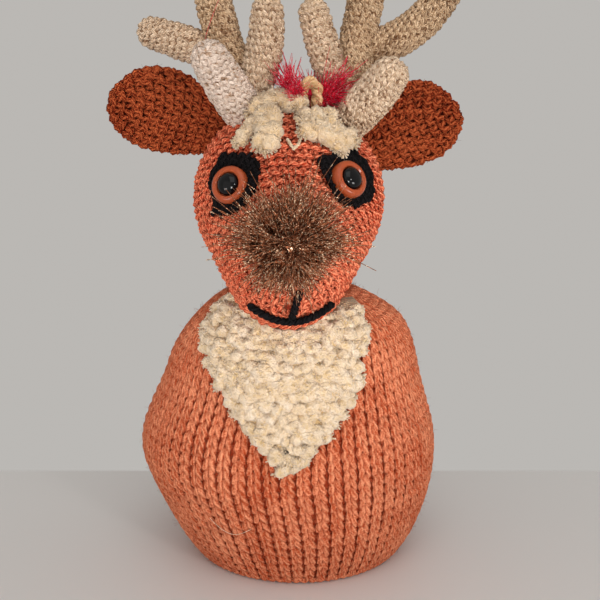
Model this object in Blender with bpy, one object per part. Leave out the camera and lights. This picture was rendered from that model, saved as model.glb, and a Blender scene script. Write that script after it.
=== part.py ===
"""A knitted tea cosy with a crocheted deer's head on top.

The cosy is a hollow of two knitted panels, sewn together at the sides above and below a slit in each side,
and gathered into a neck. A stuffed head sits in the neck, with two ears, two antlers of four stuffed tubes
each, toy eyes on sewn patches, a stitched mouth, a pompom for a nose, a forelock of chenille yarn and a
tuft of tinsel yarn. A chenille bib lies on the chest.

Metres, +Z up. The cosy stands on its hem at Z = 0, its face looks along -Y, and the wide slit is at -X.
"""

import math

import bmesh
import bpy
import numpy as np
from mathutils import Matrix, Vector

MM = 0.001
SEAM_GAP = 0.3 * MM  # between pieces that are sewn together

# The knitted panels.
WALL = 4.0 * MM  # thick double yarn
DEPTH_SHARE = 0.92  # front to back, against side to side
# height, half-width, how far its middle is sideways, how far it is forward
OUTLINE_MM = [
    (0, 59.0, 4.0, 3.0),
    (8, 65.0, 3.8, 2.6),
    (18, 70.8, 3.2, 1.8),
    (32, 77.0, 2.0, 0.8),
    (46, 81.8, 0.2, 0),
    (60, 84.4, -1.6, 0),
    (74, 83.2, -1.8, 0),
    (88, 78.6, -1.0, 0.5),
    (102, 73.2, 0.4, 1.5),
    (116, 69.0, 1.4, 3.0),
    (128, 63.5, 3.0, 5.0),
    (138, 56.0, 3.8, 7.0),
    (147, 44.5, 2.0, 8.5),
    (154, 31.5, 0.3, 9.5),
    (158, 25.0, 0.0, 10.0),
]
PANEL_ROWS = 12
WALES = 32  # columns of knit stitches in a panel
WALE_RELIEF = 0.8 * MM  # how far a wale stands out of the furrows beside it
LUMPS = 0.7 * MM  # hand knitting's unevenness
# side, low end, high end, half of the opening: a short wide slit at one side, a long narrow one at the other
SLITS_MM = [
    (-1, 46, 100, 11.0),
    (+1, 34, 120, 7.5),
]
SLIT_BLUNTNESS = 0.7  # the power of a sine: its ends are rounder the smaller it is
HEAD_OVER_NECK = 152 * MM  # above this the panels sit against the head, with no bib between

# The stuffed head is a ball and a smaller one in front of it, with a straight cone between them.
CRANIUM = Vector((-1.0, -12.0, 201.0)) * MM
CRANIUM_RADIUS = 50.3 * MM
MUZZLE_RADIUS = 30.0 * MM
MUZZLE_REACH = 57.5 * MM
MUZZLE_DROP = math.radians(33)
HEAD_SEGMENTS = 32
CRANIUM_STEPS = 10
MUZZLE_STEPS = 7
HEAD_AXIS = Vector((0, -math.cos(MUZZLE_DROP), -math.sin(MUZZLE_DROP)))
MUZZLE = CRANIUM + MUZZLE_REACH * HEAD_AXIS
CONE_SINE = (CRANIUM_RADIUS - MUZZLE_RADIUS) / MUZZLE_REACH
CONE_COSINE = math.sqrt(1 - CONE_SINE**2)

# The bib: height, how far it reaches to the left, and to the right.
BIB_MM = [
    (148, -34, 32),
    (140, -41, 36),
    (132, -45, 37),
    (124, -43, 35),
    (116, -39, 35),
    (108, -33, 33),
    (100, -28, 28),
    (92, -24, 22),
    (84, -17, 16),
    (77, -10, 9),
    (71, -3, 1),
]
BIB_ROWS = 18
BIB_STEPS = 14
BIB_THICKNESS = 4.5 * MM
BIB_LUMP = 0.9 * MM
BIB_REST = 1.0 * MM  # it lies on the wales' crests and crosses the furrows
BIB_RAGGED = 2.2 * MM  # how far every other row sticks out at the rim
BIB_RIM_SHARE = 0.55  # of its thickness

# Ears, a thick double layer of crochet: name, root, tip, and how many degrees it is turned about itself.
EARS_MM = [
    ("ear_left", (-36.0, -7.0, 236.0), (-97.0, -14.0, 252.0), -6.0),
    ("ear_right", (37.0, -7.0, 226.0), (91.0, -11.0, 247.5), 6.0),
]
# share of the way from root to tip, half-width, how far its middle line rises there
EAR_WIDTHS_MM = [
    (0.00, 11.5, 0.0),
    (0.12, 14.5, 1.0),
    (0.24, 18.2, 2.2),
    (0.36, 20.8, 3.0),
    (0.48, 22.3, 3.6),
    (0.67, 21.8, 3.3),
    (0.82, 18.2, 2.4),
    (0.93, 11.5, 1.0),
    (0.985, 5.5, 0.2),
    (1.00, 2.5, 0.0),
]
EAR_THICKNESS = 7.0 * MM
EAR_CUP = 4.0 * MM  # how far its rims curl forward
EAR_SIDES = 12
EAR_BOXINESS = 0.7  # the power of its section's sine and cosine: 1 is an ellipse

# Antlers, of stuffed tubes with round tips.
# name, root, middle, tip, radius at the root, radius at the tip, the tubes that it is sewn to
TINES_MM = [
    ("antler_left_beam", (-20, -19, 238), (-34.5, -12, 281), (-44, -12, 324), 9.6, 8.8, ()),
    (
        "antler_left_front",
        (-20, -22, 240),
        (-31, -37, 257),
        (-38, -50, 269),
        10.4,
        9.6,
        ("antler_left_beam",),
    ),
    (
        "antler_left_inner",
        (-21, -18, 252),
        (-14, -20, 275),
        (-11.5, -24, 295),
        9.2,
        8.6,
        ("antler_left_beam", "antler_left_front"),
    ),
    (
        "antler_left_outer",
        (-33, -10, 274),
        (-55, -9, 282),
        (-72, -12, 287),
        8.8,
        8.4,
        ("antler_left_beam",),
    ),
    ("antler_right_beam", (25, -19, 236), (34.5, -12, 279), (43, -8, 325), 9.4, 8.8, ()),
    (
        "antler_right_front",
        (27, -22, 238),
        (39, -37, 250),
        (48, -50, 261),
        10.4,
        9.6,
        ("antler_right_beam",),
    ),
    (
        "antler_right_inner",
        (27, -18, 254),
        (18, -20, 276),
        (12, -24, 295),
        8.4,
        7.8,
        ("antler_right_beam", "antler_right_front"),
    ),
    (
        "antler_right_outer",
        (35, -9, 279),
        (64, -9, 289),
        (84, -13, 314),
        9.2,
        8.6,
        ("antler_right_beam",),
    ),
]
TINE_SIDES = 10
TINE_STEPS = 6
TIP_STEPS = 3

# Eyes, seen from the front: their middles, and the sewn patches' outlines round them.
EYES_MM = {"left": (-26.6, 208.2), "right": (26.5, 210.7)}
# how far each eye turns from the head's own slope to the front: 0 follows the slope
EYES_FACE_FORWARD = {"left": 0.4, "right": 0.15}
PATCH_THICKNESS = 2.0 * MM
PATCH_RINGS = 4
PATCHES_MM = {
    "left": [
        (-6.5, 15.2),
        (7.6, 14.4),
        (12.4, 11.4),
        (11.6, 1.4),
        (8.2, -4.6),
        (2.0, -10.6),
        (-2.0, -13.2),
        (-9.6, -12.8),
        (-9.4, -7.6),
        (-12.0, 1.1),
        (-11.4, 7.2),
        (-8.8, 10.4),
    ],
    "right": [
        (-13.1, 11.1),
        (-3.7, 12.9),
        (4.5, 14.1),
        (10.1, 10.1),
        (13.9, 3.5),
        (13.7, -4.5),
        (11.3, -9.5),
        (5.9, -11.9),
        (-0.7, -10.5),
        (-5.7, -5.9),
        (-8.3, -0.3),
        (-11.3, 5.5),
    ],
}
IRIS_PROFILE_MM = [
    (0.0, -7.0),
    (9.2, -7.0),
    (9.4, 2.0),
    (9.0, 3.3),
    (8.0, 4.3),
    (6.6, 4.7),
    (5.9, 4.4),
    (5.8, 2.7),
    (0.0, 2.7),
]
PUPIL_PROFILE_MM = [
    (0.0, 3.0),
    (5.5, 3.0),
    (5.5, 4.6),
    (4.8, 5.7),
    (3.2, 6.5),
    (0.0, 6.8),
]
EYE_SEGMENTS = 20

# The stitched mouth, by direction from the middle of the muzzle: degrees round from the front, and up.
MOUTH_RADIUS = 1.7 * MM
SMILE_MIDDLE = (5, -46)
SMILE_HALF_SPAN = 45
SMILE_RISE = 19
SMILE_POINTS = 17
LIP_LINE_TOP = (11, -12)
LIP_LINE_POINTS = 6

# The pompom nose and the tinsel tuft: a small ball with a lock on each of its faces.
NOSE_DIRECTION = (2, 25)
NOSE_DISTANCE = 33.0 * MM
NOSE_CORE = 16.0 * MM
NOSE_LOCKS = (6.5 * MM, 12.0 * MM)
TUFT_CENTRE = Vector((9.5, -19.0, 253.0)) * MM
TUFT_CORE = 7.0 * MM
TUFT_LOCKS = (10.0 * MM, 26.0 * MM)
LOCK_CLEARANCE = 0.8 * MM
LOCK_SHARE = 0.86  # of the ball's faces, where there is room
LOCK_HALF_WIDTH = 1.5 * MM
LOCK_LEAST = 3.0 * MM  # where no longer one fits there is no lock

# The forelock's chenille strands. Each point is a direction from the cranium's middle, in degrees round
# from the front and up.
# forelock, start, bend, end, radius in mm
STRANDS = [
    ("forelock_left", (-27, 51), (-13, 66), (9, 53), 4.4),
    ("forelock_left", (-21, 55), (-13, 40), (-14, 27), 4.2),
    ("forelock_left", (-25, 53), (-29, 42), (-34, 31), 2.9),
    ("forelock_right", (9, 41), (25, 38), (47, 31), 4.0),
    ("forelock_right", (11, 44), (24, 47), (38, 44), 4.2),
    ("forelock_right", (31, 42), (33, 34), (32, 26), 3.1),
]
YARN_LOOP_MM = [
    (7.5, -31.0, 251.5),
    (5.2, -31.0, 256.0),
    (5.6, -31.5, 260.5),
    (8.6, -31.5, 263.6),
    (12.2, -31.5, 262.6),
    (14.6, -31.5, 258.8),
    (14.4, -31.0, 254.4),
    (12.4, -31.0, 251.5),
]
YARN_LOOP_RADIUS = 1.6 * MM
STRAND_STEPS = 8
STRAND_SIDES = 8
STRAND_LUMP = 0.16  # of its radius

COLOURS = {
    "rust_wool": ((0.46, 0.115, 0.055), 0.95),
    "antler_wool": ((0.56, 0.40, 0.27), 0.95),
    "cream_chenille": ((0.78, 0.60, 0.38), 0.95),
    "black_wool": ((0.012, 0.012, 0.015), 0.95),
    "red_tinsel": ((0.55, 0.01, 0.04), 0.35),
    "brown_tinsel": ((0.06, 0.022, 0.012), 0.35),
    "brown_plastic": ((0.35, 0.07, 0.025), 0.15),
    "black_plastic": ((0.004, 0.004, 0.004), 0.08),
}


# ---------------------------------------------------------------- helpers


def clear_scene():
    for old in list(bpy.data.objects):
        bpy.data.objects.remove(old)


def finish_of(name):
    """The material of that name, made once."""
    if name in bpy.data.materials:
        return bpy.data.materials[name]
    colour, roughness = COLOURS[name]
    material = bpy.data.materials.new(name)
    material.use_nodes = True
    shader = material.node_tree.nodes["Principled BSDF"]
    shader.inputs["Base Color"].default_value = (*colour, 1)
    shader.inputs["Roughness"].default_value = roughness
    material.diffuse_color = (*colour, 1)
    return material


def object_from(bm, name, finish):
    """The bmesh as an object, with its faces pointing out."""
    bmesh.ops.recalc_face_normals(bm, faces=bm.faces)
    mesh = bpy.data.meshes.new(name)
    bm.to_mesh(mesh)
    bm.free()
    mesh.materials.append(finish_of(finish))
    made = bpy.data.objects.new(name, mesh)
    bpy.context.scene.collection.objects.link(made)
    return made


def smooth(made, angle=50):
    made.data.shade_smooth()
    made.data.set_sharp_from_angle(angle=math.radians(angle))
    return made


def cutter_from(made):
    """Marks an object as a helper, which isn't part of the cosy."""
    made.hide_render = True
    made.display_type = "WIRE"
    return made


def apply_boolean(target, other, operation):
    """Cuts other out of target, or joins it on, in target's own mesh."""
    modifier = target.modifiers.new(operation.lower(), "BOOLEAN")
    modifier.operation = operation
    modifier.object = other
    bpy.context.view_layer.update()
    graph = bpy.context.evaluated_depsgraph_get()
    mesh = bpy.data.meshes.new_from_object(target.evaluated_get(graph))
    target.modifiers.remove(modifier)
    target.data = mesh


def loft(rings):
    """A closed bmesh through rings of equal count, with a flat cap at each end."""
    bm = bmesh.new()
    loops = [[bm.verts.new(p) for p in ring] for ring in rings]
    for one, other in zip(loops, loops[1:]):
        count = len(one)
        for k in range(count):
            after = (k + 1) % count
            bm.faces.new((one[k], one[after], other[after], other[k]))
    bm.faces.new(loops[0])
    bm.faces.new(loops[-1])
    return bm


def slab(outer, inner):
    """A closed bmesh between two grids of points that have the same rows and columns."""
    bm = bmesh.new()
    sides = [[[bm.verts.new(p) for p in row] for row in grid] for grid in (outer, inner)]
    rows, columns = len(outer) - 1, len(outer[0]) - 1
    for side in sides:
        for i in range(rows):
            for j in range(columns):
                bm.faces.new((side[i][j], side[i][j + 1], side[i + 1][j + 1], side[i + 1][j]))
    face, back = sides
    rim = [(0, j) for j in range(columns)]
    rim += [(i, columns) for i in range(rows)]
    rim += [(rows, j) for j in range(columns, 0, -1)]
    rim += [(i, 0) for i in range(rows, 0, -1)]
    for (a, b), (c, d) in zip(rim, rim[1:] + rim[:1]):
        bm.faces.new((face[a][b], face[c][d], back[c][d], back[a][b]))
    return bm


def spun(profile, segments):
    """A closed bmesh turned about Z from a profile of (radius, height) that starts and ends on the axis."""
    bm = bmesh.new()
    verts = [bm.verts.new((radius, 0, height)) for radius, height in profile]
    edges = [bm.edges.new(pair) for pair in zip(verts, verts[1:])]
    bmesh.ops.spin(
        bm, geom=verts + edges, axis=(0, 0, 1), cent=(0, 0, 0), angle=math.tau, steps=segments
    )
    bmesh.ops.remove_doubles(bm, verts=bm.verts, dist=1e-6)
    return bm


def frame_along(direction, origin, hint=Vector((0, 0, 1))):
    """A matrix at origin whose Z runs along direction and whose Y is as near hint as it can be."""
    z = direction.normalized()
    x = hint.cross(z).normalized()
    y = z.cross(x)
    return Matrix.Translation(origin) @ Matrix((x, y, z)).transposed().to_4x4()


def direction_of(round_deg, up_deg):
    """A unit vector: degrees round from the front towards +X, and degrees up."""
    around, up = math.radians(round_deg), math.radians(up_deg)
    return Vector(
        (math.sin(around) * math.cos(up), -math.cos(around) * math.cos(up), math.sin(up))
    )


def ease(value):
    """A smooth step from 0 to 1."""
    t = min(1.0, max(0.0, value))
    return t * t * (3 - 2 * t)


def through(start, middle, end, t):
    """The point at t of the curve that starts, is halfway at middle, and ends."""
    bend = 2 * middle - (start + end) / 2
    return (1 - t) ** 2 * start + 2 * t * (1 - t) * bend + t * t * end


# ---------------------------------------------------------------- the head's form


def head_distance(point):
    """How far a point is outside the head. It is negative inside."""
    out = point - CRANIUM
    along = out.dot(HEAD_AXIS)
    aside = math.sqrt(max(0.0, out.length_squared - along * along))
    on_cone = along * CONE_COSINE - aside * CONE_SINE
    if on_cone < 0:
        return out.length - CRANIUM_RADIUS
    if on_cone > MUZZLE_REACH * CONE_COSINE:
        return (point - MUZZLE).length - MUZZLE_RADIUS
    return along * CONE_SINE + aside * CONE_COSINE - CRANIUM_RADIUS


def head_normal(point):
    step = 0.05 * MM
    slope = [
        head_distance(point + step * axis) - head_distance(point - step * axis)
        for axis in (Vector((1, 0, 0)), Vector((0, 1, 0)), Vector((0, 0, 1)))
    ]
    return Vector(slope).normalized()


def clear_of_head(point, clearance):
    """The point, pushed off the head to that clearance, as soft cloth under a stuffed head is."""
    moved = point.copy()
    for _ in range(3):
        lack = clearance - head_distance(moved)
        if lack > 0:
            moved += lack * head_normal(moved)
    return moved


def on_face(x, z, lift):
    """The point of the head's front at that X and Z, lifted off it."""
    point = Vector((x, MUZZLE.y - 2 * MUZZLE_RADIUS, z))
    for _ in range(60):
        point.y += 0.8 * head_distance(point)
    return point + lift * head_normal(point)


def head_bmesh(grown):
    """The head, grown by that much all over, turned about its own axis."""
    cone_tilt = math.asin(CONE_SINE)
    profile = []
    for k in range(CRANIUM_STEPS + 1):
        angle = math.pi - k / CRANIUM_STEPS * (math.pi / 2 + cone_tilt)
        radius = CRANIUM_RADIUS + grown
        profile.append((radius * math.sin(angle), radius * math.cos(angle)))
    middle_radius = (CRANIUM_RADIUS + MUZZLE_RADIUS) / 2 + grown
    profile.append((middle_radius * CONE_COSINE, MUZZLE_REACH / 2 + middle_radius * CONE_SINE))
    for k in range(MUZZLE_STEPS + 1):
        angle = (1 - k / MUZZLE_STEPS) * (math.pi / 2 - cone_tilt)
        radius = MUZZLE_RADIUS + grown
        profile.append((radius * math.sin(angle), MUZZLE_REACH + radius * math.cos(angle)))
    profile[0] = (0.0, profile[0][1])
    profile[-1] = (0.0, profile[-1][1])
    bm = spun(profile, HEAD_SEGMENTS)
    bmesh.ops.transform(bm, matrix=frame_along(HEAD_AXIS, CRANIUM), verts=bm.verts)
    return bm


def head_cutter():
    return cutter_from(object_from(head_bmesh(SEAM_GAP), "head_cutter", "rust_wool"))


# ---------------------------------------------------------------- the knitted hollow


def outline_curve(steps=200):
    """The cosy's outline as a smooth curve: rows of height, half-width, sideways and forward, in metres."""
    rows = np.array(OUTLINE_MM, float) * MM
    padded = np.vstack([2 * rows[0] - rows[1], rows, 2 * rows[-1] - rows[-2]])
    spots = np.linspace(0, len(rows) - 1, steps)
    index = np.minimum(spots.astype(int), len(rows) - 2)
    t = (spots - index)[:, None]
    before, here, there, after = (padded[index + k] for k in range(4))
    return 0.5 * (
        2 * here
        + (there - before) * t
        + (2 * before - 5 * here + 4 * there - after) * t**2
        + (3 * here - before - 3 * there + after) * t**3
    )


CURVE = outline_curve()
CURVE_LENGTH = np.concatenate(
    [[0], np.cumsum(np.hypot(np.diff(CURVE[:, 0]), np.diff(CURVE[:, 1])))]
)


def outline_at(share):
    """Height, half-width, sideways, forward and outward slope at a share of the way from hem to neck."""
    spot = share * CURVE_LENGTH[-1]
    row = [float(np.interp(spot, CURVE_LENGTH, CURVE[:, k])) for k in range(4)]
    ahead, behind = min(spot + 2 * MM, CURVE_LENGTH[-1]), max(spot - 2 * MM, 0)
    rise = np.interp([behind, ahead], CURVE_LENGTH, CURVE[:, 0])
    widen = np.interp([behind, ahead], CURVE_LENGTH, CURVE[:, 1])
    slope = Vector((rise[1] - rise[0], -(widen[1] - widen[0]))).normalized()
    return (*row, slope)


def share_at_height(height):
    return float(np.interp(height, CURVE[:, 0], CURVE_LENGTH)) / CURVE_LENGTH[-1]


def unevenness(share, azimuth):
    """Hand knitting's own lumps, in metres, which fade at the hem and the neck."""
    wave = math.sin(3 * azimuth + 5 * share + 0.6) * math.sin(7 * share + 2 * math.sin(azimuth))
    return LUMPS * wave * math.sin(math.pi * share)


def wall_point(share, azimuth, lift):
    """A point of the knitted wall's outer face, lifted along its slope."""
    height, half_width, sideways, forward, slope = outline_at(share)
    lift += unevenness(share, azimuth)
    reach = half_width + lift * slope.x
    return Vector(
        (
            sideways + reach * math.sin(azimuth),
            -forward - DEPTH_SHARE * reach * math.cos(azimuth),
            height + lift * slope.y,
        )
    )


def seam_opening(height, side):
    """How far a panel's edge is from the seam's plane: half the sewing gap, and more at a slit."""
    for slit_side, low, high, half_opening in SLITS_MM:
        if slit_side == side and low * MM < height < high * MM:
            share = (height / MM - low) / (high - low)
            return SEAM_GAP / 2 + half_opening * MM * math.sin(math.pi * share) ** SLIT_BLUNTNESS
    return SEAM_GAP / 2


def head_clearance(height, azimuth):
    """What the wall keeps off the head: a sewing gap at the neck, and the bib's thickness on the chest."""
    under_bib = BIB_THICKNESS + BIB_LUMP + BIB_REST + WALE_RELIEF
    chest = ease((math.cos(azimuth) + 0.1) / 0.4)
    return SEAM_GAP + chest * ease((HEAD_OVER_NECK - height) / (5 * MM)) * under_bib


def panel(name, facing):
    """One knitted half. Facing is 1 for the front and -1 for the back."""
    outer, inner = [], []
    columns = 2 * WALES
    for i in range(PANEL_ROWS + 1):
        share = i / PANEL_ROWS
        height, half_width = outline_at(share)[:2]
        for grid, lift in ((outer, 0.0), (inner, -WALL)):
            reach = half_width + lift
            left, right = (
                math.acos(seam_opening(height, side) / (DEPTH_SHARE * reach)) for side in (-1, 1)
            )
            row = []
            for j in range(columns + 1):
                azimuth = -left + (left + right) * j / columns
                if facing < 0:
                    azimuth = math.pi - azimuth
                wale = WALE_RELIEF / 2 * (1 if j % 2 else -1) if lift == 0 else 0.0
                point = wall_point(share, azimuth, lift + wale)
                if i == 0:
                    point = wall_point(share, azimuth, 0.0)
                    point.xy *= (reach + wale) / half_width
                    point.z = 0.0
                clearance = head_clearance(point.z, azimuth)
                row.append(clear_of_head(point, clearance - lift + max(0.0, -wale)))
            grid.append(row)
    return smooth(object_from(slab(outer, inner), name, "rust_wool"), 60)


# ---------------------------------------------------------------- what is sewn on


def bib():
    """The chenille bib: a lumpy sheet that follows the chest, with a ragged rim."""
    heights, lefts, rights = np.array(BIB_MM, float).T * MM
    outer, inner = [], []
    for i in range(BIB_ROWS + 1):
        height = heights[0] + (heights[-1] - heights[0]) * i / BIB_ROWS
        share = share_at_height(height)
        half_width, sideways = outline_at(share)[1:3]
        ragged = BIB_RAGGED * (0.5 if i % 2 else -0.5) * ease((BIB_ROWS - i) / 4)
        left = np.interp(-height, -heights, lefts) - ragged
        right = np.interp(-height, -heights, rights) + ragged
        faces = ([], [])
        for j in range(BIB_STEPS + 1):
            across = left + (right - left) * j / BIB_STEPS
            azimuth = math.asin((across - sideways) / half_width)
            lump = BIB_LUMP * math.sin(2.3 * i + 1.1 * math.sin(j)) * math.sin(2.0 * j + 0.7 * i)
            rim = min(i, BIB_ROWS - i, j, BIB_STEPS - j)
            thickness = (BIB_THICKNESS + lump) * (BIB_RIM_SHARE if rim == 0 else 1.0)
            rests = WALE_RELIEF / 2 + BIB_REST
            above = wall_point(share, azimuth, rests + thickness)
            below = wall_point(share, azimuth, rests)
            faces[0].append(clear_of_head(above, SEAM_GAP))
            faces[1].append(clear_of_head(below, SEAM_GAP + thickness))
        outer.append(faces[0])
        inner.append(faces[1])
    return smooth(object_from(slab(outer, inner), "bib", "cream_chenille"))


def ear(name, root, tip, turn_deg, head):
    """A paddle of crochet, cupped towards the front and cut to the head's curve at its root."""
    root, tip = Vector(root) * MM, Vector(tip) * MM
    along = (tip - root).normalized()
    across = Vector((0, 1, 0)).cross(along)
    across = (Matrix.Rotation(math.radians(turn_deg), 3, along) @ across).normalized()
    front = across.cross(along)
    if front.y > 0:
        front = -front
    rings = []
    upward = across if across.z > 0 else -across
    for share, half_width, rise in EAR_WIDTHS_MM:
        middle = root + share * (tip - root) + rise * MM * upward
        half_width *= MM
        ring = []
        for k in range(EAR_SIDES):
            turn = math.tau * k / EAR_SIDES
            x = half_width * math.copysign(abs(math.cos(turn)) ** EAR_BOXINESS, math.cos(turn))
            thick = EAR_THICKNESS / 2 * min(1.0, 0.55 + half_width / (20 * MM))
            y = thick * math.copysign(abs(math.sin(turn)) ** EAR_BOXINESS, math.sin(turn))
            cup = EAR_CUP * (x / (22 * MM)) ** 2 * ease(share / 0.5)
            ring.append(middle + across * x + front * (y + cup))
        rings.append(ring)
    made = object_from(loft(rings), name, "rust_wool")
    apply_boolean(made, head, "DIFFERENCE")
    return smooth(made)


def tine_bmesh(row, grown=0.0):
    """A stuffed tube along its curve, with a half ball for a tip, grown by that much all over."""
    _, root, middle, tip, root_radius, tip_radius, _ = row
    root, middle, tip = (Vector(p) * MM for p in (root, middle, tip))
    stations = [(k / TINE_STEPS, 0.0, 1.0) for k in range(TINE_STEPS + 1)]
    for k in range(1, TIP_STEPS + 1):
        angle = math.pi / 2 * k / (TIP_STEPS + 0.35)
        stations.append((1.0, math.sin(angle), math.cos(angle)))
    rings = []
    for t, beyond, shrink in stations:
        heading = (through(root, middle, tip, t + 0.01) - through(root, middle, tip, t - 0.01)).normalized()
        radius = (root_radius + (tip_radius - root_radius) * t) * MM + grown
        centre = through(root, middle, tip, t) + heading * beyond * radius
        if t == 0.0:
            centre -= heading * grown
        frame = frame_along(heading, centre, Vector((0, 1, 0)))
        rings.append(
            [
                frame @ Vector((shrink * radius * math.cos(a), shrink * radius * math.sin(a), 0))
                for a in (math.tau * k / TINE_SIDES for k in range(TINE_SIDES))
            ]
        )
    return loft(rings)


def antlers(head):
    """The eight tubes, each cut to the curve of the head and of the tubes that it is sewn to."""
    rows = {row[0]: row for row in TINES_MM}
    cutters = {
        name: cutter_from(object_from(tine_bmesh(row, SEAM_GAP), name + "_cutter", "antler_wool"))
        for name, row in rows.items()
    }
    made = []
    for name, row in rows.items():
        tine = object_from(tine_bmesh(row), name, "antler_wool")
        apply_boolean(tine, head, "DIFFERENCE")
        for other in row[-1]:
            apply_boolean(tine, cutters[other], "DIFFERENCE")
        made.append(smooth(tine))
    return made, cutters


def patch(side, head):
    """A thin sewn patch under an eye, with an outline as seen from the front and the head's curve behind."""
    centre_x, centre_z = (v * MM for v in EYES_MM[side])
    rim = [Vector((x, z)) * MM for x, z in PATCHES_MM[side]]
    bm = bmesh.new()
    faces = []
    for lift in (SEAM_GAP + PATCH_THICKNESS, -SEAM_GAP):
        rings = [[bm.verts.new(on_face(centre_x, centre_z, lift))]]
        for ring in range(1, PATCH_RINGS + 1):
            share = ring / PATCH_RINGS
            rings.append(
                [
                    bm.verts.new(on_face(centre_x + share * p.x, centre_z + share * p.y, lift))
                    for p in rim
                ]
            )
        count = len(rim)
        for k in range(count):
            after = (k + 1) % count
            bm.faces.new((rings[0][0], rings[1][k], rings[1][after]))
            for one, other in zip(rings[1:], rings[2:]):
                bm.faces.new((one[k], other[k], other[after], one[after]))
        faces.append(rings[-1])
    top, bottom = faces
    for k in range(len(rim)):
        after = (k + 1) % len(rim)
        bm.faces.new((top[k], top[after], bottom[after], bottom[k]))
    made = object_from(bm, "eye_patch_" + side, "black_wool")
    apply_boolean(made, head, "DIFFERENCE")
    return smooth(made)


def eye(side, over_patch):
    """A toy eye of two pieces, the brown iris with a hollow in its middle, and the black pupil in it."""
    x, z = (v * MM for v in EYES_MM[side])
    seat = on_face(x, z, SEAM_GAP + PATCH_THICKNESS)
    facing = head_normal(seat).lerp(Vector((0, -1, 0)), EYES_FACE_FORWARD[side])
    place = frame_along(facing, seat)
    made = []
    for name, profile, finish in (
        ("iris_", IRIS_PROFILE_MM, "brown_plastic"),
        ("pupil_", PUPIL_PROFILE_MM, "black_plastic"),
    ):
        bm = spun([(r * MM, h * MM) for r, h in profile], EYE_SEGMENTS)
        bmesh.ops.transform(bm, matrix=place, verts=bm.verts)
        made.append(object_from(bm, name + side, finish))
    apply_boolean(made[0], over_patch, "DIFFERENCE")
    return [smooth(piece, 40) for piece in made]


def on_muzzle(direction, lift):
    return MUZZLE + (MUZZLE_RADIUS + lift) * direction_of(*direction)


def smile_point(share):
    """A point of the smile's middle line, from one corner of the mouth, at -1, to the other, at 1."""
    around, up = SMILE_MIDDLE
    return on_muzzle(
        (around + share * SMILE_HALF_SPAN, up + SMILE_RISE * share**2), MOUTH_RADIUS + SEAM_GAP
    )


def lip_line_points():
    above_smile = math.degrees((2 * MOUTH_RADIUS + SEAM_GAP) / (MUZZLE_RADIUS + MOUTH_RADIUS))
    low = (SMILE_MIDDLE[0], SMILE_MIDDLE[1] + above_smile + 0.5)
    points = []
    for k in range(LIP_LINE_POINTS):
        share = k / (LIP_LINE_POINTS - 1)
        spot = [a + share * (b - a) for a, b in zip(LIP_LINE_TOP, low)]
        points.append(on_muzzle(spot, MOUTH_RADIUS + SEAM_GAP))
    return points


def yarn(name, points, radius, finish):
    """A line of yarn: a round-sectioned curve with filled ends."""
    curve = bpy.data.curves.new(name, "CURVE")
    curve.dimensions = "3D"
    curve.bevel_depth = radius
    curve.bevel_resolution = 2
    curve.use_fill_caps = True
    spline = curve.splines.new("POLY")
    spline.points.add(len(points) - 1)
    for spot, point in zip(spline.points, points):
        spot.co = (*point, 1)
    curve.materials.append(finish_of(finish))
    made = bpy.data.objects.new(name, curve)
    bpy.context.scene.collection.objects.link(made)
    return made


def mouth():
    smile = [smile_point(2 * k / (SMILE_POINTS - 1) - 1) for k in range(SMILE_POINTS)]
    return [
        yarn("mouth_smile", smile, MOUTH_RADIUS, "black_wool"),
        yarn("mouth_line", lip_line_points(), MOUTH_RADIUS, "black_wool"),
    ]


# ---------------------------------------------------------------- locks, pompom and forelock


def tube_distance(point, spots, radius):
    """How far a point is outside a round tube through those spots."""
    nearest = 1.0
    for a, b in zip(spots, spots[1:]):
        run = b - a
        share = min(1.0, max(0.0, (point - a).dot(run) / run.length_squared))
        nearest = min(nearest, (point - a - share * run).length)
    return nearest - radius


def obstacles():
    """The tubes that locks keep off: the antlers' and the mouth's."""
    tubes = []
    for row in TINES_MM:
        root, middle, tip = (Vector(p) * MM for p in row[1:4])
        spots = [through(root, middle, tip, k / 6) for k in range(7)]
        tubes.append((spots, max(row[4:6]) * MM))
    tubes.append(([smile_point(k / 4 - 1) for k in range(9)], MOUTH_RADIUS))
    tubes.append((lip_line_points(), MOUTH_RADIUS))
    tubes.append(([Vector(p) * MM for p in YARN_LOOP_MM], YARN_LOOP_RADIUS))
    return tubes


def free_length(start, heading, wanted, tubes, least):
    """The length, up to the wanted one, that a lock can have without touching the head or a tube."""
    length = wanted
    while length > least:
        to_spare = 1.0
        for share in (0.1, 0.25, 0.4, 0.55, 0.7, 0.85, 1.0):
            spot = start + heading * share * length
            clear = min(tube_distance(spot, spots, radius) for spots, radius in tubes)
            half_lock = LOCK_HALF_WIDTH * (1 - share)
            to_spare = min(to_spare, min(clear, head_distance(spot)) - half_lock - LOCK_CLEARANCE)
        if to_spare > 0:
            return length
        length -= 1.0 * MM
    return 0.0


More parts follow.
